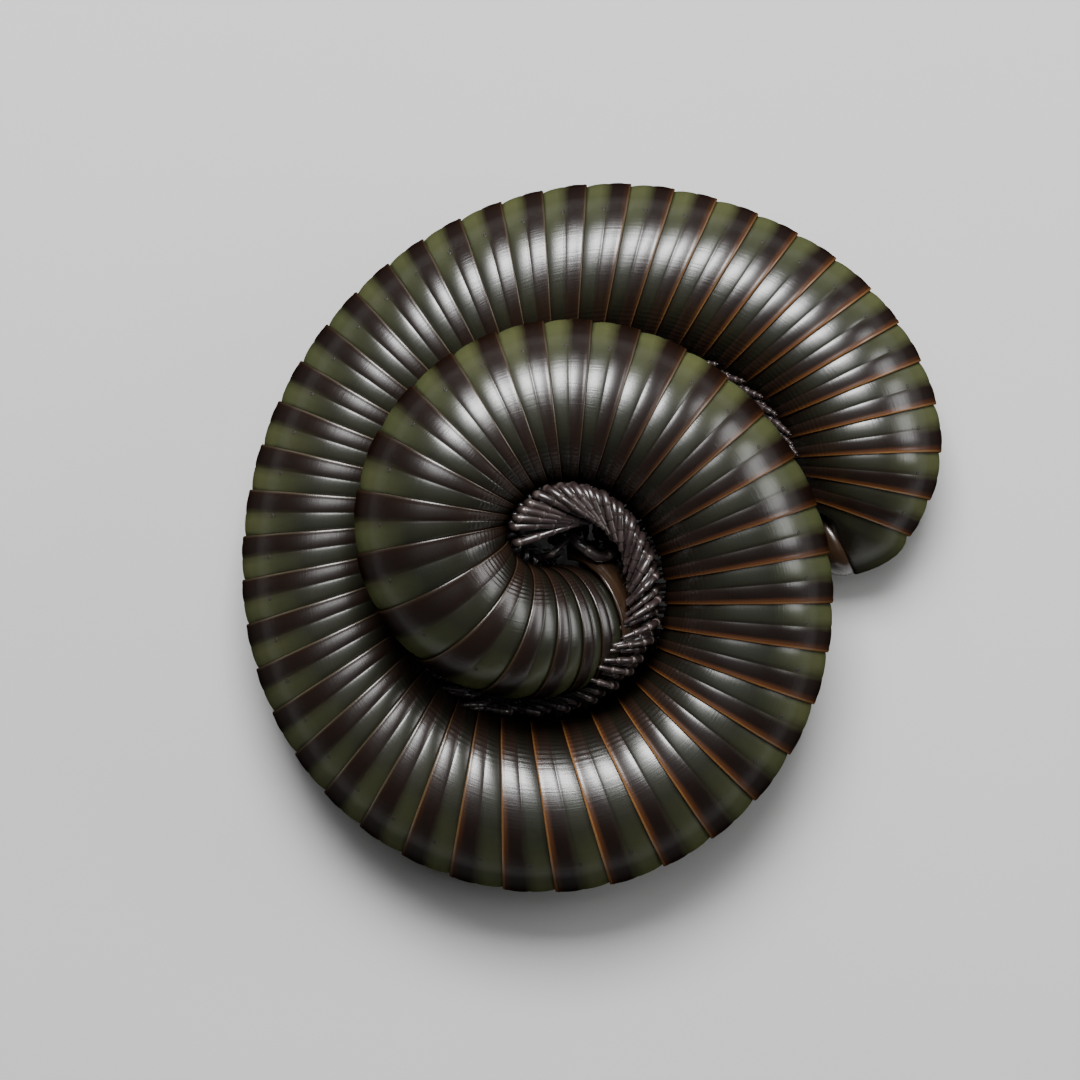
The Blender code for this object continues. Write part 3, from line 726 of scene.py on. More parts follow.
def gathered(points, label, length, turn, side, drop):
    """The leg's points, drawn to the gathering point of its turn of the coil, if it has one."""
    for (low, near, far, high), target, reach, (shift, angle, height) in GATHERED[label]:
        share = float(smooth_share(turn, low, near) * (1.0 - smooth_share(turn, far, high)))
        if share > 0.0:
            knee = body_point(length, shift * MM, angle - drop, height * MM, side)
            way = np.array(target) * MM + SHIFT - (0.0, 0.0, drop * DROP_AT_TIP * MM) - knee
            way *= min(1.0, reach * MM / np.linalg.norm(way))
            lift = np.array([0.0, 0.0, 0.3 * MM])
            drawn = [*points[:2], knee, knee + 0.45 * way + lift, knee + way]
            points = [a * (1.0 - share) + b * share for a, b in zip(points, drawn)]
    return points


def through_points(points):
    """A smooth line through the points, as a function of the share of its length."""
    points = np.asarray(points, float)
    steps = np.linalg.norm(np.diff(points, axis=0), axis=1)
    knots = np.concatenate([[0.0], np.cumsum(np.sqrt(steps))])
    curve = natural_spline(knots, points)
    fine = curve(np.linspace(0.0, knots[-1], 120))
    lengths = np.concatenate([[0.0], np.cumsum(np.linalg.norm(np.diff(fine, axis=0), axis=1))])
    shares = lengths / lengths[-1]
    return lambda places: np.stack([np.interp(places, shares, column) for column in fine.T], axis=1)


def tube_loops(centres, radii, sides):
    """Round loops along a line of centres, each turned as little as possible from the last."""
    centres = np.asarray(centres, float)
    ways = np.gradient(centres, axis=0)
    ways /= np.maximum(np.linalg.norm(ways, axis=1), 1e-12)[:, None]
    across = np.cross(ways[0], (0.0, 0.0, 1.0))
    if np.linalg.norm(across) < 0.1:
        across = np.cross(ways[0], (1.0, 0.0, 0.0))
    turn = np.linspace(0.0, 2.0 * math.pi, sides, endpoint=False)
    loops = []
    for centre, way, radius in zip(centres, ways, radii):
        across = across - way * np.dot(across, way)
        across /= np.linalg.norm(across)
        up = np.cross(across, way)
        round_way = across * np.cos(turn)[:, None] + up * np.sin(turn)[:, None]
        loops.append(centre + round_way * radius)
    return np.array(loops)


def jointed_tube(shape, line, joints, girths, sides, swelling, tip):
    """Segments between the joints, each swelling toward its end, with a pale neck between."""
    places, radii, pale, base = [], [], [], []
    for k, (start, end, girth) in enumerate(zip(joints, joints[1:], girths)):
        for share, size in JOINT_PROFILE:
            places.append(start + (end - start) * min(share, 0.995))
            radii.append(girth * (1.0 + (size - 1.0) * swelling))
            pale.append(1.0 if share in (0.0, 1.0) else 0.4 if share > 0.9 else 0.0)
            # The value named base is 1 at the root and fades out over two segments; the finish
            # paints shade with it.
            base.append(max(0.0, 1.0 - 0.5 * (k + share)))
    centres = list(line(places))
    last = line([joints[-1]])[0]
    way = (last - centres[-3]) / np.linalg.norm(last - centres[-3])
    for along, size in tip:
        centres.append(last + way * along)
        radii.append(size)
        pale.append(0.0)
        base.append(0.0)
    loops = tube_loops(centres, radii, sides)
    shape.add_loops(loops, joint=np.repeat(pale, sides), base=np.repeat(base, sides))


class MillipedeBody(PropertyGroup):
    """Sizes of the ringed body."""

    rim_height: FloatProperty(
        name="Rim height", description="How far a ring's rear rim stands over the ring behind",
        default=0.24 * MM, min=0.0, max=0.5 * MM, unit="LENGTH", precision=5)
    stria_depth: FloatProperty(
        name="Stria depth", description="How deep the fine lines on the belly side are cut",
        default=0.07 * MM, min=0.0, max=0.12 * MM, unit="LENGTH", precision=5)
    belly_flat: FloatProperty(
        name="Belly flatness", description="Share of the girth that the belly's midline lies in",
        default=0.035, min=0.0, max=0.1, subtype="FACTOR")
    pore_size: FloatProperty(
        name="Pore size", description="Radius of the small gland pore on each side of a ring",
        default=0.13 * MM, min=0.05 * MM, max=0.3 * MM, unit="LENGTH", precision=5)
    pore_angle: FloatProperty(
        name="Pore angle", description="Where the pores sit, measured from the back's midline",
        default=math.radians(49.0), min=0.0, max=math.pi, unit="ROTATION")


class MillipedeLimbs(PropertyGroup):
    """Sizes of the legs and feelers."""

    thickness: FloatProperty(
        name="Leg thickness", description="Thickness of the legs against the measured ones",
        default=1.2, min=0.6, max=1.4, subtype="FACTOR")
    swelling: FloatProperty(
        name="Joint swelling", description="How much each leg segment swells toward its end",
        default=1.0, min=0.0, max=1.5, subtype="FACTOR")
    scatter: FloatProperty(
        name="Scatter", description="How far one leg's angle differs from its neighbours'",
        default=math.radians(0.9), min=0.0, max=math.radians(5.0), unit="ROTATION")
    seed: IntProperty(
        name="Seed", description="Start of the leg scatter's random numbers", default=7, min=0)


class MillipedeHead(PropertyGroup):
    """Sizes of the head's own pieces."""

    lens_size: FloatProperty(
        name="Lens size", description="Radius of one simple eye in the eye patch",
        default=0.075 * MM, min=0.03 * MM, max=0.12 * MM, unit="LENGTH", precision=5)
    lens_rows: IntProperty(
        name="Lens rows", description="Rows of simple eyes in each patch", default=8, min=3, max=12)
    groove_depth: FloatProperty(
        name="Groove depth", description="Depth of the head's and jaws' grooves",
        default=0.07 * MM, min=0.0, max=0.2 * MM, unit="LENGTH", precision=5)


class MillipedePaint(PropertyGroup):
    """Colours of the shell, legs and eyes."""

    olive: FloatVectorProperty(
        name="Olive band", description="Front band of a ring on the back", subtype="COLOR", size=3,
        default=(0.058, 0.065, 0.027), min=0.0, max=1.0)
    flank: FloatVectorProperty(
        name="Flank", description="Front band of a ring on the flank", subtype="COLOR", size=3,
        default=(0.014, 0.015, 0.009), min=0.0, max=1.0)
    dark_band: FloatVectorProperty(
        name="Dark band", description="Rear band of a ring", subtype="COLOR", size=3,
        default=(0.008, 0.0038, 0.0026), min=0.0, max=1.0)
    rim: FloatVectorProperty(
        name="Rim", description="Warm zone before a ring's rear edge", subtype="COLOR", size=3,
        default=(0.07, 0.023, 0.006), min=0.0, max=1.0)
    # The pale edge line and its dull form are partly the rim's own pale margin and partly a painted
    # highlight of the rim's edge catching the light.
    edge: FloatVectorProperty(
        name="Edge", description="Thin pale line along a ring's rear edge", subtype="COLOR", size=3,
        default=(0.28, 0.14, 0.045), min=0.0, max=1.0)
    dull_edge_and_glint: FloatVectorProperty(
        name="Dull edge", description="The same line where the rim isn't warm", subtype="COLOR",
        size=3, default=(0.05, 0.042, 0.024), min=0.0, max=1.0)
    belly: FloatVectorProperty(
        name="Belly", description="Striped zone toward the belly", subtype="COLOR", size=3,
        default=(0.018, 0.01, 0.007), min=0.0, max=1.0)
    leg: FloatVectorProperty(
        name="Leg", description="Legs and feelers", subtype="COLOR", size=3,
        default=(0.034, 0.022, 0.0215), min=0.0, max=1.0)
    joint: FloatVectorProperty(
        name="Joint", description="Paler horn at the joints of legs and feelers", subtype="COLOR",
        size=3, default=(0.08, 0.06, 0.053), min=0.0, max=1.0)
    head: FloatVectorProperty(
        name="Head", description="Head, neck shield and anal valves", subtype="COLOR", size=3,
        default=(0.034, 0.018, 0.009), min=0.0, max=1.0)
    eye: FloatVectorProperty(
        name="Eye", description="Lenses of the eye patches", subtype="COLOR", size=3,
        default=(0.012, 0.009, 0.009), min=0.0, max=1.0)


class MillipedeStage(PropertyGroup):
    """Floor and lights."""

    floor: FloatVectorProperty(
        name="Floor", description="Colour of the floor", subtype="COLOR", size=3,
        default=(0.55, 0.55, 0.55), min=0.0, max=1.0)
    world: FloatProperty(
        name="Surround", description="Strength of the even light from all round", default=0.04,
        min=0.0, max=3.0)
    key: FloatProperty(
        name="Key light", description="Power of the large soft light", default=1.5, min=0.0,
        max=10.0, unit="POWER")
    core: FloatProperty(
        name="Core light", description="Power of the smaller light in front of the large one",
        default=3.8, min=0.0, max=10.0, unit="POWER")
    top: FloatProperty(
        name="Top light", description="Power of the light straight above the coil", default=0.15,
        min=0.0, max=10.0, unit="POWER")
    side: FloatProperty(
        name="Side light", description="Power of the second soft light", default=1.0, min=0.0,
        max=10.0, unit="POWER")


class MILLIPEDE_OT_body(Operator):
    """Build the ringed shell with its preanal ring and the inner neck as one skin"""

    bl_idname = "millipede.body"
    bl_label = "Ringed body"

    def execute(self, context):
        body = context.scene.millipede_body
        angles = around_angles()
        depths = stria_depths(angles)
        lengths, drops, places, numbers, windows = [], [], [], [], []
        for number in range(1, RING_COUNT + 1):
            start = rim(number)
            span = rim(number + 1) - start
            for share, drop in RING_PROFILE:
                window = float(smooth_share(share, 0.0, 0.05)
                               * (1.0 - smooth_share(share, 0.8, 0.95)))
                # The striae are deepest toward the neck.
                window *= 0.55 + 0.45 * float(smooth_share(number, 48.0, 58.0))
                lengths.append(start + share * span)
                drops.append(drop * body.rim_height + depths * body.stria_depth * window)
                places.append(min(max(share, 0.0), 1.0))
                numbers.append(number / RING_COUNT)
                windows.append(window)
        neck = rim(RING_COUNT + 1)
        for along, share in NECK_LOOPS:
            lengths.append(neck + along * MM)
            girth = ROUTE_LINE.frames(neck + along * MM)[4][0]
            drops.append(np.full(len(angles), girth * (1.0 - share)))
            places.append(0.3)
            numbers.append(1.0)
            windows.append(0.0)
        trunk = body_loops(np.array(lengths), np.array(drops), angles, body.belly_flat)
        telson = telson_loops(angles)
        front = body_loops(np.array([rim(1) - 0.05 * MM, rim(1) + 0.25 * MM]),
                           np.full((2, len(angles)), body.rim_height) * np.array([[1.0], [1.35]]),
                           angles, body.belly_flat)
        loops = np.concatenate([telson, front, trunk])
        # The two loops tucked under the first ring's rim take places near 1, so they get the same
        # painted shade of that rim.
        tail_places = [place for *_, place in TELSON_LOOPS] + [0.97, 1.0]
        places = np.array(tail_places + places)
        numbers = np.array([0.0] * len(tail_places) + numbers)
        folded = np.minimum(angles, 360.0 - angles) / 180.0
        # How deep each point lies in a stria; the finish uses it to paint shade into the grooves.
        grooves = np.outer(np.array([0.0] * len(tail_places) + windows), depths)
        shape = Shape("place", "around", "number", "groove")
        shape.add_loops(loops, place=np.repeat(places, len(angles)), groove=grooves.ravel(),
                        around=np.tile(folded, len(loops)), number=np.repeat(numbers, len(angles)))
        finish = finish_named("banded_shell", shell_finish, context.scene.millipede_paint)
        skin = shape.finish("body_shell", finish)
        hold(skin, "ring_shell", "telson", *TRUNK_NODES)
        return {"FINISHED"}


class MILLIPEDE_OT_pores(Operator):
    """Build the small dark gland pore on each side of every ring but the foremost ones"""

    bl_idname = "millipede.pores"
    bl_label = "Gland pores"

    def execute(self, context):
        body = context.scene.millipede_body
        turn = np.linspace(0.0, 2.0 * math.pi, PORE_SIDES, endpoint=False)
        shape = Shape("joint")
        for number in range(1, RING_COUNT - PORELESS_AT_NECK + 1):
            length = rim(number) + PORE_PLACE * (rim(number + 1) - rim(number))
            centres, ways, backs, lefts, girths = ROUTE_LINE.frames(length)
            for side in (1.0, -1.0):
                out = (backs[0] * math.cos(body.pore_angle)
                       + lefts[0] * math.sin(body.pore_angle) * side)
                across = np.cross(out, ways[0])
                middle = centres[0] + out * (girths[0] - 0.12 * body.rim_height)
                round_way = across * np.cos(turn)[:, None] + ways[0] * np.sin(turn)[:, None] * side
                loops = np.array([
                    middle + round_way * reach * body.pore_size + out * rise * body.pore_size
                    for reach, rise in PORE_PROFILE])
                shape.add_loops(loops, caps=(False, True))
        paint = context.scene.millipede_paint
        dark = colour(paint.dark_band)
        finish = finish_named("pore_horn", horn_finish, "pore_horn", dark, dark, 0.6, 0.1, dark)
        pores = shape.finish("gland_pores", finish)
        hold(pores, "dark_shell")
        return {"FINISHED"}


class MILLIPEDE_OT_legs(Operator):
    """Build every leg, two pairs to a ring, as one piece for each side"""

    bl_idname = "millipede.legs"
    bl_label = "Legs"

    def execute(self, context):
        limbs = context.scene.millipede_limbs
        dice = random.Random(limbs.seed)
        finish = leg_horn(context.scene.millipede_paint)
        for label, side, poses in (("left", 1.0, UPPER_LEGS), ("right", -1.0, LOWER_LEGS)):
            # The legs carry a value named base, by which the finish paints shade over their roots.
            shape = Shape("joint", "base")
            for number in range(1 + LEGLESS_AT_TAIL, RING_COUNT + 1):
                start = rim(number)
                span = rim(number + 1) - start
                places = (0.5,) if number > RING_COUNT - SINGLE_PAIR_RINGS else LEG_PLACES
                for pair, place in enumerate(places):
                    length = start + place * span
                    turn = ROUTE_LINE.turn(length)
                    size = min(1.0, ROUTE_LINE.frames(length)[4][0] / (TRUNK_GIRTH * MM))
                    swing = math.degrees(dice.uniform(-limbs.scatter, limbs.scatter))
                    slip = dice.uniform(-LEG_SLIP, LEG_SLIP)
                    drop = pair * float(np.interp(turn, FAN_TURNS, PAIR_DROP))
                    points = []
                    for k, (shift, angle, height) in enumerate(mixed_pose(poses, turn)):
                        angle += swing * k * SWING_SHARE - min(k, 1) * drop
                        point = body_point(length, (shift + slip * k) * MM, angle,
                                           height * size * MM, side)
                        point[2] = max(point[2], LEAST_LEG_HEIGHT * MM)
                        points.append(point)
                    points = gathered(points, label, length, turn, side, drop)
                    girths = [g * MM * size * limbs.thickness for g in LEG_GIRTHS]
                    jointed_tube(shape, through_points(points), LEG_JOINTS, girths, LEG_SIDES,
                                 limbs.swelling, CLAW)
            legs = shape.finish(f"legs_{label}", finish)
            hold(legs, "horn")
        return {"FINISHED"}


class MILLIPEDE_OT_collum(Operator):
    """Build the neck shield, a smooth saddle whose lobes carry a few striae"""

    bl_idname = "millipede.collum"
    bl_label = "Neck shield"

    def execute(self, context):
        start = rim(RING_COUNT + 1)
        angles = np.linspace(-COLLUM_HALF, COLLUM_HALF, COLLUM_SIDES)
        turn = np.radians(angles)
        lobe = smooth_share(np.abs(angles), 50.0, 105.0)
        narrowing = 1.0 - 0.3 * smooth_share(np.abs(angles), 100.0, COLLUM_HALF)
        shape = Shape("joint")
        outer, inner = [], []
        for row in range(COLLUM_ROWS):
            share = row / (COLLUM_ROWS - 1)
            along = 0.05 + COLLUM_LENGTH * share * narrowing
            centres, _, backs, lefts, girths = ROUTE_LINE.frames(start + along * MM)
            edges = 0.05 * math.exp(-((share - 0.03) / 0.025) ** 2)
            edges += 0.06 * math.exp(-((share - 0.97) / 0.03) ** 2)
            lines = 0.035 * sum(math.exp(-((share - k) / 0.02) ** 2) for k in COLLUM_STRIAE)
            dome = 1.0 - 0.16 * float(smooth_share(share, 0.25, 1.2))
            reach = girths * dome + (edges - lines * lobe + 0.05) * MM
            way = backs * np.cos(turn)[:, None] + lefts * np.sin(turn)[:, None]
            drawn = COLLUM_SLIDE * MM * float(smooth_share(share, -0.3, 1.05)) * lobe
            slide = -backs * drawn[:, None]
            outer.append(centres + way * reach[:, None] + slide)
            inner.append(centres + way * (reach - COLLUM_THICKNESS * MM)[:, None] + slide)
        rim_loop = [np.concatenate([o, i[::-1]]) for o, i in zip(outer, inner)]
        shape.add_loops(np.array(rim_loop))
        shield = shape.finish("collum_shield", dark_shell(context.scene.millipede_paint))
        hold(shield, "dark_shell", "collum")
        return {"FINISHED"}


def head_skin(direction):
    """The head capsule's surface along unit directions in its own frame, in millimetres."""
    x, y, z = direction.T
    narrow = 1.0 - 0.34 * np.maximum(0.0, -z) ** 0.7
    flat = np.where(y > 0, 0.84, 0.95)
    wide, deep, high = HEAD_HALF_SIZES
    return np.stack([x * wide * narrow, np.sign(y) * np.abs(y) ** flat * deep, z * high], axis=1)


def ball_directions(segments, rings):
    """Unit directions of a ball's points in loops from pole to pole, without the poles."""
    tilt = np.linspace(0.02, math.pi - 0.02, rings)
    turn = np.linspace(0.0, 2.0 * math.pi, segments, endpoint=False)
    grid = np.stack([np.sin(tilt)[:, None] * np.cos(turn)[None, :],
                     np.sin(tilt)[:, None] * np.sin(turn)[None, :],
                     np.cos(tilt)[:, None] * np.ones(segments)[None, :]], axis=2)
    return grid


def in_head(points):
    """Points of the head's frame, in millimetres, as places in the model."""
    matrix = np.array(HEAD)
    return np.asarray(points) * MM @ matrix[:3, :3].T + matrix[:3, 3]


def hill(points, centre, reach):
    """A soft round hill of height 1 about the centre."""
    return np.exp(-np.sum((points - np.array(centre)) ** 2, axis=1) / reach ** 2)


class MILLIPEDE_OT_head(Operator):
    """Build the head capsule with its sutures, feeler sockets and notched, toothed lip"""

    bl_idname = "millipede.head"
    bl_label = "Head capsule"

    def execute(self, context):
        depth = context.scene.millipede_head.groove_depth / MM
        grid = ball_directions(*HEAD_GRID)
        flat = grid.reshape(-1, 3)
        skin = head_skin(flat)
        x, y, z = skin.T
        front = smooth_share(y, 0.0, 1.2)
        push = np.zeros(len(skin))
        # The crown's middle suture, the groove across the brow, the swollen clypeus and the
        # groove over the lip.
        push -= depth * np.exp(-(x / 0.05) ** 2) * smooth_share(z, 0.3, 1.0) * front
        brow = np.exp(-((z - 1.9 + 0.05 * x ** 2) / 0.06) ** 2) * smooth_share(3.0 - abs(x), 0, 1)
        push -= depth * 0.6 * brow * front
        push += 0.16 * np.exp(-((z + 1.5) / 0.75) ** 2 - (x / 1.7) ** 2) * front
        over_lip = (np.exp(-((z + 2.25 - 0.12 * x ** 2) / 0.07) ** 2)
                    * smooth_share(1.9 - abs(x), 0, 0.5))
        push -= depth * over_lip * front
        for side in (-1.0, 1.0):
            socket = np.array((side * 1.95, 2.2, 0.1))
            away = np.linalg.norm(skin - socket, axis=1)
            push += 0.14 * np.exp(-((away - 0.62) / 0.12) ** 2) - 0.3 * np.exp(-(away / 0.42) ** 2)
            push += 0.05 * hill(skin, (side * EYE_PLACE[0], EYE_PLACE[1], EYE_PLACE[2]), 0.75)
            for pit in (0.42, 1.05):
                push -= 0.09 * hill(skin, (side * pit, 2.0, -2.0), 0.13)
        skin = skin + flat * push[:, None]
        lip = smooth_share(-skin[:, 2], 2.35, 3.1) * front
        notch = np.exp(-(skin[:, 0] / 0.5) ** 2)
        teeth = np.exp(-(skin[:, 0] / 0.3) ** 2) * np.cos(skin[:, 0] * 2.0 * math.pi / 0.26) * 0.09
        skin[:, 2] += lip * (0.34 * notch - np.maximum(teeth, 0.0))
        skin[:, 1] += lip * 0.25
        pale = 0.35 * lip + 0.12 * np.exp(-((skin[:, 2] + 1.5) / 0.8) ** 2) * front
        shape = Shape("joint")
        shape.add_loops(in_head(skin).reshape(grid.shape), joint=pale)
        head = shape.finish("head_capsule", dark_shell(context.scene.millipede_paint))
        hold(head, "dark_shell", "head")
        return {"FINISHED"}


class MILLIPEDE_OT_jaws(Operator):
    """Build the two mandible cheeks and the plate that closes the mouth from below"""

    bl_idname = "millipede.jaws"
    bl_label = "Jaws and chin plate"

    def execute(self, context):
        depth = context.scene.millipede_head.groove_depth / MM
        paint = context.scene.millipede_paint
        grid = ball_directions(*JAW_GRID)
        flat = grid.reshape(-1, 3)
        for label, side in (("left", -1.0), ("right", 1.0)):
            # A slanting groove over the cheek, an upright one behind, and a swelling below.
            (cx, cy, cz), half = MANDIBLE
            push = -depth / half[0] * np.exp(-((flat[:, 2] - 0.28 + 0.3 * flat[:, 1]) / 0.06) ** 2)
            upright = np.exp(-((flat[:, 1] + 0.45) / 0.07) ** 2)
            push -= 0.5 * depth / half[0] * upright * (flat[:, 2] < 0.3)
            push += 0.1 * np.exp(-((flat[:, 2] + 0.3) / 0.4) ** 2)
            cheek = flat * (1.0 + push * np.abs(flat[:, 0]))[:, None] * np.array(half)
            cheek += np.array((side * cx, cy, cz))
            shape = Shape("joint")
            shape.add_loops(in_head(cheek).reshape(grid.shape), joint=np.zeros(len(cheek)))
            made = shape.finish(f"mandible_cheek_{label}", dark_shell(paint))
            hold(made, "dark_shell", f"mandible_{label}")
        (cx, cy, cz), half = CHIN_PLATE
        x, _, z = flat.T
        # The two slanting side seams, the middle seam above them and the cross seam.
        seams = np.exp(-((np.abs(x) - 0.42 - 0.12 * z) / 0.035) ** 2) * (z > -0.55)
        seams = seams + np.exp(-(x / 0.03) ** 2) * (z > 0.1)
        seams = seams + np.exp(-((z + 0.55 - 0.5 * np.abs(x)) / 0.04) ** 2) * (np.abs(x) < 0.8)
        inward = 0.8 * depth / half[1] * np.minimum(seams, 1.0) * np.abs(flat[:, 1])
        plate = flat * (1.0 - inward)[:, None] * np.array(half) + np.array((cx, cy, cz))
        shape = Shape("joint")
        shape.add_loops(in_head(plate).reshape(grid.shape), joint=0.25 * np.minimum(seams, 1.0))
        made = shape.finish("chin_plate", leg_horn(paint))
        hold(made, "horn", "gnathochilarium")
        return {"FINISHED"}


class MILLIPEDE_OT_eyes(Operator):
    """Build both eye patches from rows of small domed lenses"""

    bl_idname = "millipede.eyes"
    bl_label = "Eye patches"

    def execute(self, context):
        head = context.scene.millipede_head
        radius = head.lens_size / MM
        grid = ball_directions(*LENS_GRID)
        lens = grid.reshape(-1, 3)
        eye = colour(context.scene.millipede_paint.eye)
        finish = finish_named("eye_lens", horn_finish, "eye_lens", tuple(0.5 * c for c in eye), eye,
                              0.12, 1.0, eye)
        for label, side in (("left", -1.0), ("right", 1.0)):
            shape = Shape("joint")
            middle = np.array((side * EYE_PLACE[0], EYE_PLACE[1], EYE_PLACE[2]))
            for row in range(head.lens_rows):
                rise = (row - (head.lens_rows - 1) / 2) * radius * 1.8
                share = rise / (radius * 1.8 * head.lens_rows / 2)
                count = max(3, round(9 * math.sqrt(max(0.0, 1.0 - 0.8 * share ** 2)) - 1.2 * share))
                for k in range(count):
                    across = (k - (count - 1) / 2 + 0.25 * (row % 2)) * radius * 2.05
                    place = middle + np.array((-side * 0.35 * across, across, rise))
                    way = place / np.array(HEAD_HALF_SIZES)
                    way /= np.linalg.norm(way)
                    place = head_skin(way[None, :])[0] + way * 0.03
                    shape.add_loops(in_head(place + lens * radius).reshape(grid.shape),
                                    joint=np.zeros(len(lens)))
            made = shape.finish(f"eye_patch_{label}", finish)
            hold(made, "eye", f"eye_{label}")
        return {"FINISHED"}


class MILLIPEDE_OT_feelers(Operator):
    """Build the two feelers, seven segments each, with four sense cones at the tip"""

    bl_idname = "millipede.feelers"
    bl_label = "Feelers"

    def execute(self, context):
        finish = leg_horn(context.scene.millipede_paint)
        for label, path in FEELERS.items():
            shape = Shape("joint")
            line = through_points(in_head(np.array(path)))
            jointed_tube(shape, line, FEELER_JOINTS, [g * MM for g in FEELER_GIRTHS],
                         FEELER_SIDES, FEELER_SWELLING, FEELER_TIP)
            before, end = line([0.96, 1.0])
            way = (end - before) / np.linalg.norm(end - before)
            across = np.cross(way, (0.0, 0.0, 1.0))
            across /= np.linalg.norm(across)
            up = np.cross(across, way)
            for k in range(4):
                turn = math.pi / 4 + k * math.pi / 2
                base = end + (across * math.cos(turn) + up * math.sin(turn)) * CONE_REACH * MM
                line_up = [base + way * along * MM for along, _ in CONE]
                cone = tube_loops(line_up, [radius * MM for _, radius in CONE], CONE_SIDES)
                shape.add_loops(cone, joint=np.ones(len(CONE) * CONE_SIDES))
            made = shape.finish(f"feeler_{label}", finish)
            hold(made, "horn", f"antenna_{label}")
        return {"FINISHED"}


class MILLIPEDE_OT_valves(Operator):
    """Build the two anal valves with raised edges, and the small plate under them"""

    bl_idname = "millipede.valves"
    bl_label = "Anal valves"

    def execute(self, context):
        back, belly, middle, half_height, _ = TELSON_LOOPS[2]
        back, belly = np.array([*back, 0.0]), np.array([*belly, 0.0])
        centre = (back + belly) / 2 + np.array([0.0, 0.0, middle])
        out = (back - belly) / 2
        bulge = np.array([-out[1], out[0], 0.0])
        bulge /= np.linalg.norm(bulge)
        if np.dot(bulge, (-1.0, -0.5, 0.0)) < 0:
            bulge = -bulge
        finish = dark_shell(context.scene.millipede_paint)
        turn = np.radians(np.linspace(0.0, 180.0, 49))
        for label, side in (("left", 1.0), ("right", -1.0)):
            loops = []
            for rise, share in VALVE_DOME:
                up = half_height * share * np.sin(turn)[:, None] + VALVE_SEAM
                arc = (centre + bulge * rise + out * np.cos(turn)[:, None] * share
                       + np.array([0.0, 0.0, side]) * up)
                edge = np.exp(-((np.sin(turn) * share * half_height) / 0.16) ** 2)
                arc += bulge * (0.1 * edge)[:, None]
                level = centre + bulge * rise + np.array([0.0, 0.0, side * VALVE_SEAM])
                inward = level - bulge * 0.3 + (arc[::-1] - level) * 0.9
                loop = np.concatenate([arc, inward])
                loop[:, 2] = np.maximum(loop[:, 2], VALVE_FLOOR)
                loops.append(loop * MM + SHIFT)
            shape = Shape("joint")
            shape.add_loops(np.array(loops))
            made = shape.finish(f"valve_{label}", finish)
            hold(made, "dark_shell", f"anal_valve_{label}")
        grid = ball_directions(*SCALE_GRID)
        x, y, z = grid.reshape(-1, 3).T
        point = 1.0 - 0.55 * np.abs(z) ** 1.5
        deep, long, wide = SCALE_HALF_SIZES
        middle = (belly + np.array([0.0, 0.0, centre[2]]) + out / np.linalg.norm(out) * 0.12
                  + bulge * 0.25)
        plate = (middle + np.outer(x * deep * point, out / np.linalg.norm(out))
                 + np.outer(y * long * point, bulge) + np.outer(z * wide, (0.0, 0.0, 1.0)))
        shape = Shape("joint")
        shape.add_loops((plate * MM + SHIFT).reshape(grid.shape))
        made = shape.finish("subanal_scale", finish)
        hold(made, "dark_shell")
        return {"FINISHED"}


def soft_light(name, place, size, power):
    """An oblong area light at the place, turned to the middle of the floor."""
    light = bpy.data.lights.new(name, "AREA")
    light.shape = "RECTANGLE"
    light.size, light.size_y = size
    light.energy = power
    made = bpy.data.objects.new(name, light)
    made.location = place
    made.rotation_euler = (-Vector(place)).to_track_quat("-Z", "Y").to_euler()
    bpy.context.scene.collection.objects.link(made)
    return made


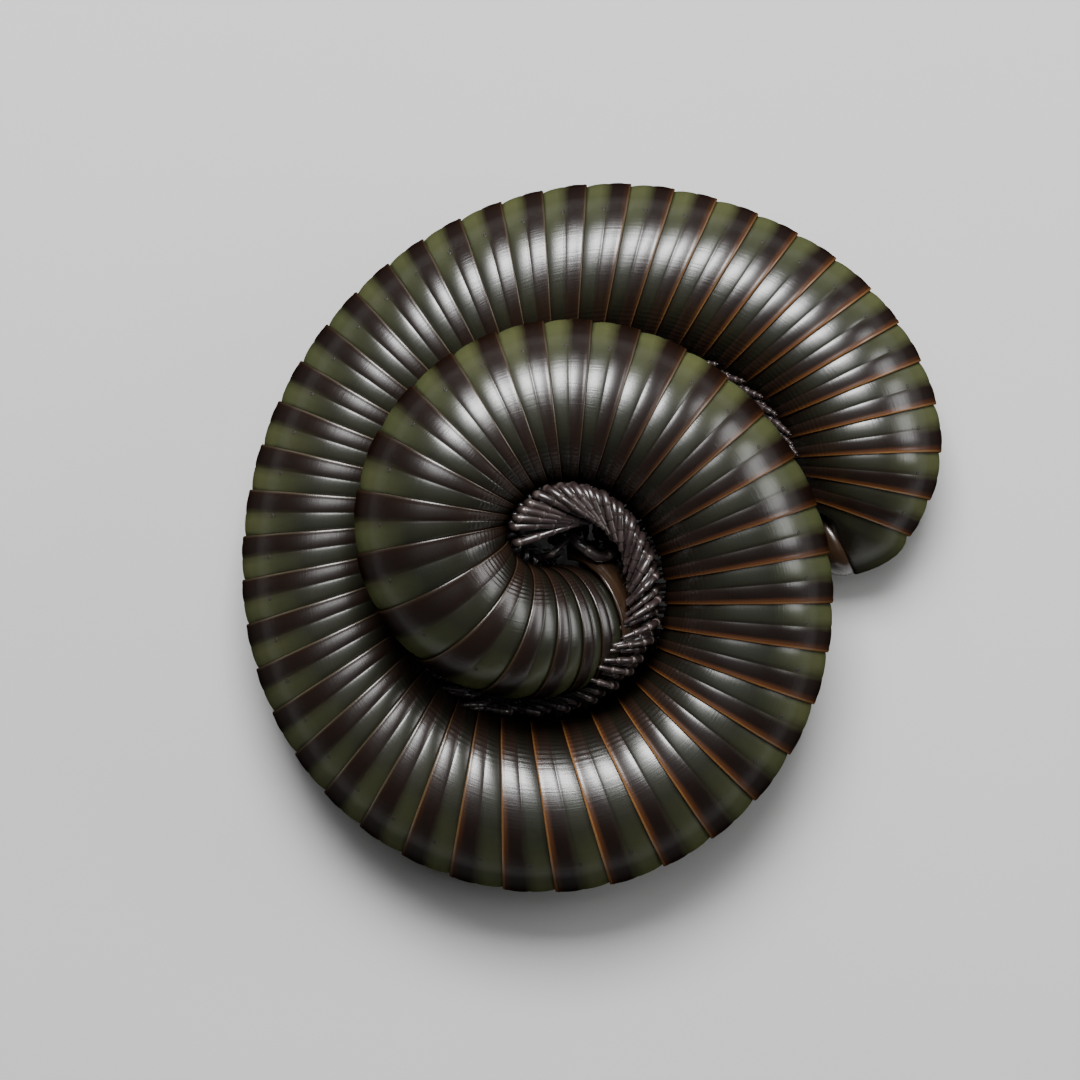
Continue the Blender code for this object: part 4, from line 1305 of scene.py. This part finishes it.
class MILLIPEDE_OT_stage(Operator):
    """Set the pale floor, the soft lights and the camera that looks straight down"""

    bl_idname = "millipede.stage"
    bl_label = "Floor, lights and camera"

    def execute(self, context):
        stage = context.scene.millipede_stage
        floor_finish = Finish("floor", 0.7)
        grain = floor_finish.noise(40.0, 3.0, 0.5)
        tone = colour(stage.floor)
        floor_finish.set("Base Color", floor_finish.ramp(grain, (
            (0.3, tuple(0.985 * c for c in tone)), (0.7, tone))))
        mesh = bpy.data.meshes.new("floor")
        corners = ((-1, -1), (1, -1), (1, 1), (-1, 1))
        mesh.from_pydata([(x * FLOOR_HALF, y * FLOOR_HALF, 0) for x, y in corners], [],
                         [(0, 1, 2, 3)])
        mesh.materials.append(floor_finish.material)
        floor = bpy.data.objects.new("floor", mesh)
        floor.location.z = -FLOOR_GAP * MM
        context.scene.collection.objects.link(floor)
        powers = {"key_light": stage.key, "core_light": stage.core,
                  "top_light": stage.top, "side_light": stage.side}
        for name, place, size in LIGHTS:
            soft_light(name, place, size, powers[name])
        world = bpy.data.worlds.new("surround")
        world.use_nodes = True
        world.node_tree.nodes["Background"].inputs["Color"].default_value = (1.0, 1.0, 1.0, 1.0)
        world.node_tree.nodes["Background"].inputs["Strength"].default_value = stage.world
        context.scene.world = world
        lens = bpy.data.cameras.new("camera")
        lens.sensor_width = 36.0
        lens.lens = CAMERA_LENS
        lens.clip_start = 0.01
        camera = bpy.data.objects.new("camera", lens)
        camera.location = Vector(CAMERA_PLACE) * MM + Vector((SHIFT[0], SHIFT[1], 0.0))
        context.scene.collection.objects.link(camera)
        context.scene.camera = camera
        return {"FINISHED"}


class MILLIPEDE_PT_pieces(Panel):
    """Lists the pieces and their settings"""

    bl_idname = "MILLIPEDE_PT_pieces"
    bl_label = "Coiled millipede"
    bl_space_type = "VIEW_3D"
    bl_region_type = "UI"
    bl_category = "Millipede"

    def draw(self, context):
        layout = self.layout
        for operator in PIECES:
            layout.operator(operator.bl_idname)
        for group in (context.scene.millipede_body, context.scene.millipede_limbs,
                      context.scene.millipede_head, context.scene.millipede_paint,
                      context.scene.millipede_stage):
            box = layout.box()
            for name in group.__annotations__:
                box.prop(group, name)


SETTINGS = {
    "millipede_body": MillipedeBody,
    "millipede_limbs": MillipedeLimbs,
    "millipede_head": MillipedeHead,
    "millipede_paint": MillipedePaint,
    "millipede_stage": MillipedeStage,
}
PIECES = (
    MILLIPEDE_OT_body, MILLIPEDE_OT_pores, MILLIPEDE_OT_legs, MILLIPEDE_OT_collum,
    MILLIPEDE_OT_head, MILLIPEDE_OT_jaws, MILLIPEDE_OT_eyes, MILLIPEDE_OT_feelers,
    MILLIPEDE_OT_valves, MILLIPEDE_OT_stage,
)


def register():
    for name, group in SETTINGS.items():
        bpy.utils.register_class(group)
        setattr(bpy.types.Scene, name, PointerProperty(type=group))
    for item in PIECES:
        bpy.utils.register_class(item)
    bpy.utils.register_class(MILLIPEDE_PT_pieces)


def unregister():
    bpy.utils.unregister_class(MILLIPEDE_PT_pieces)
    for item in reversed(PIECES):
        bpy.utils.unregister_class(item)
    for name, group in SETTINGS.items():
        delattr(bpy.types.Scene, name)
        bpy.utils.unregister_class(group)


def main():
    register()
    for operator in PIECES:
        family, name = operator.bl_idname.split(".")
        getattr(getattr(bpy.ops, family), name)()


if __name__ == "__main__":
    main()
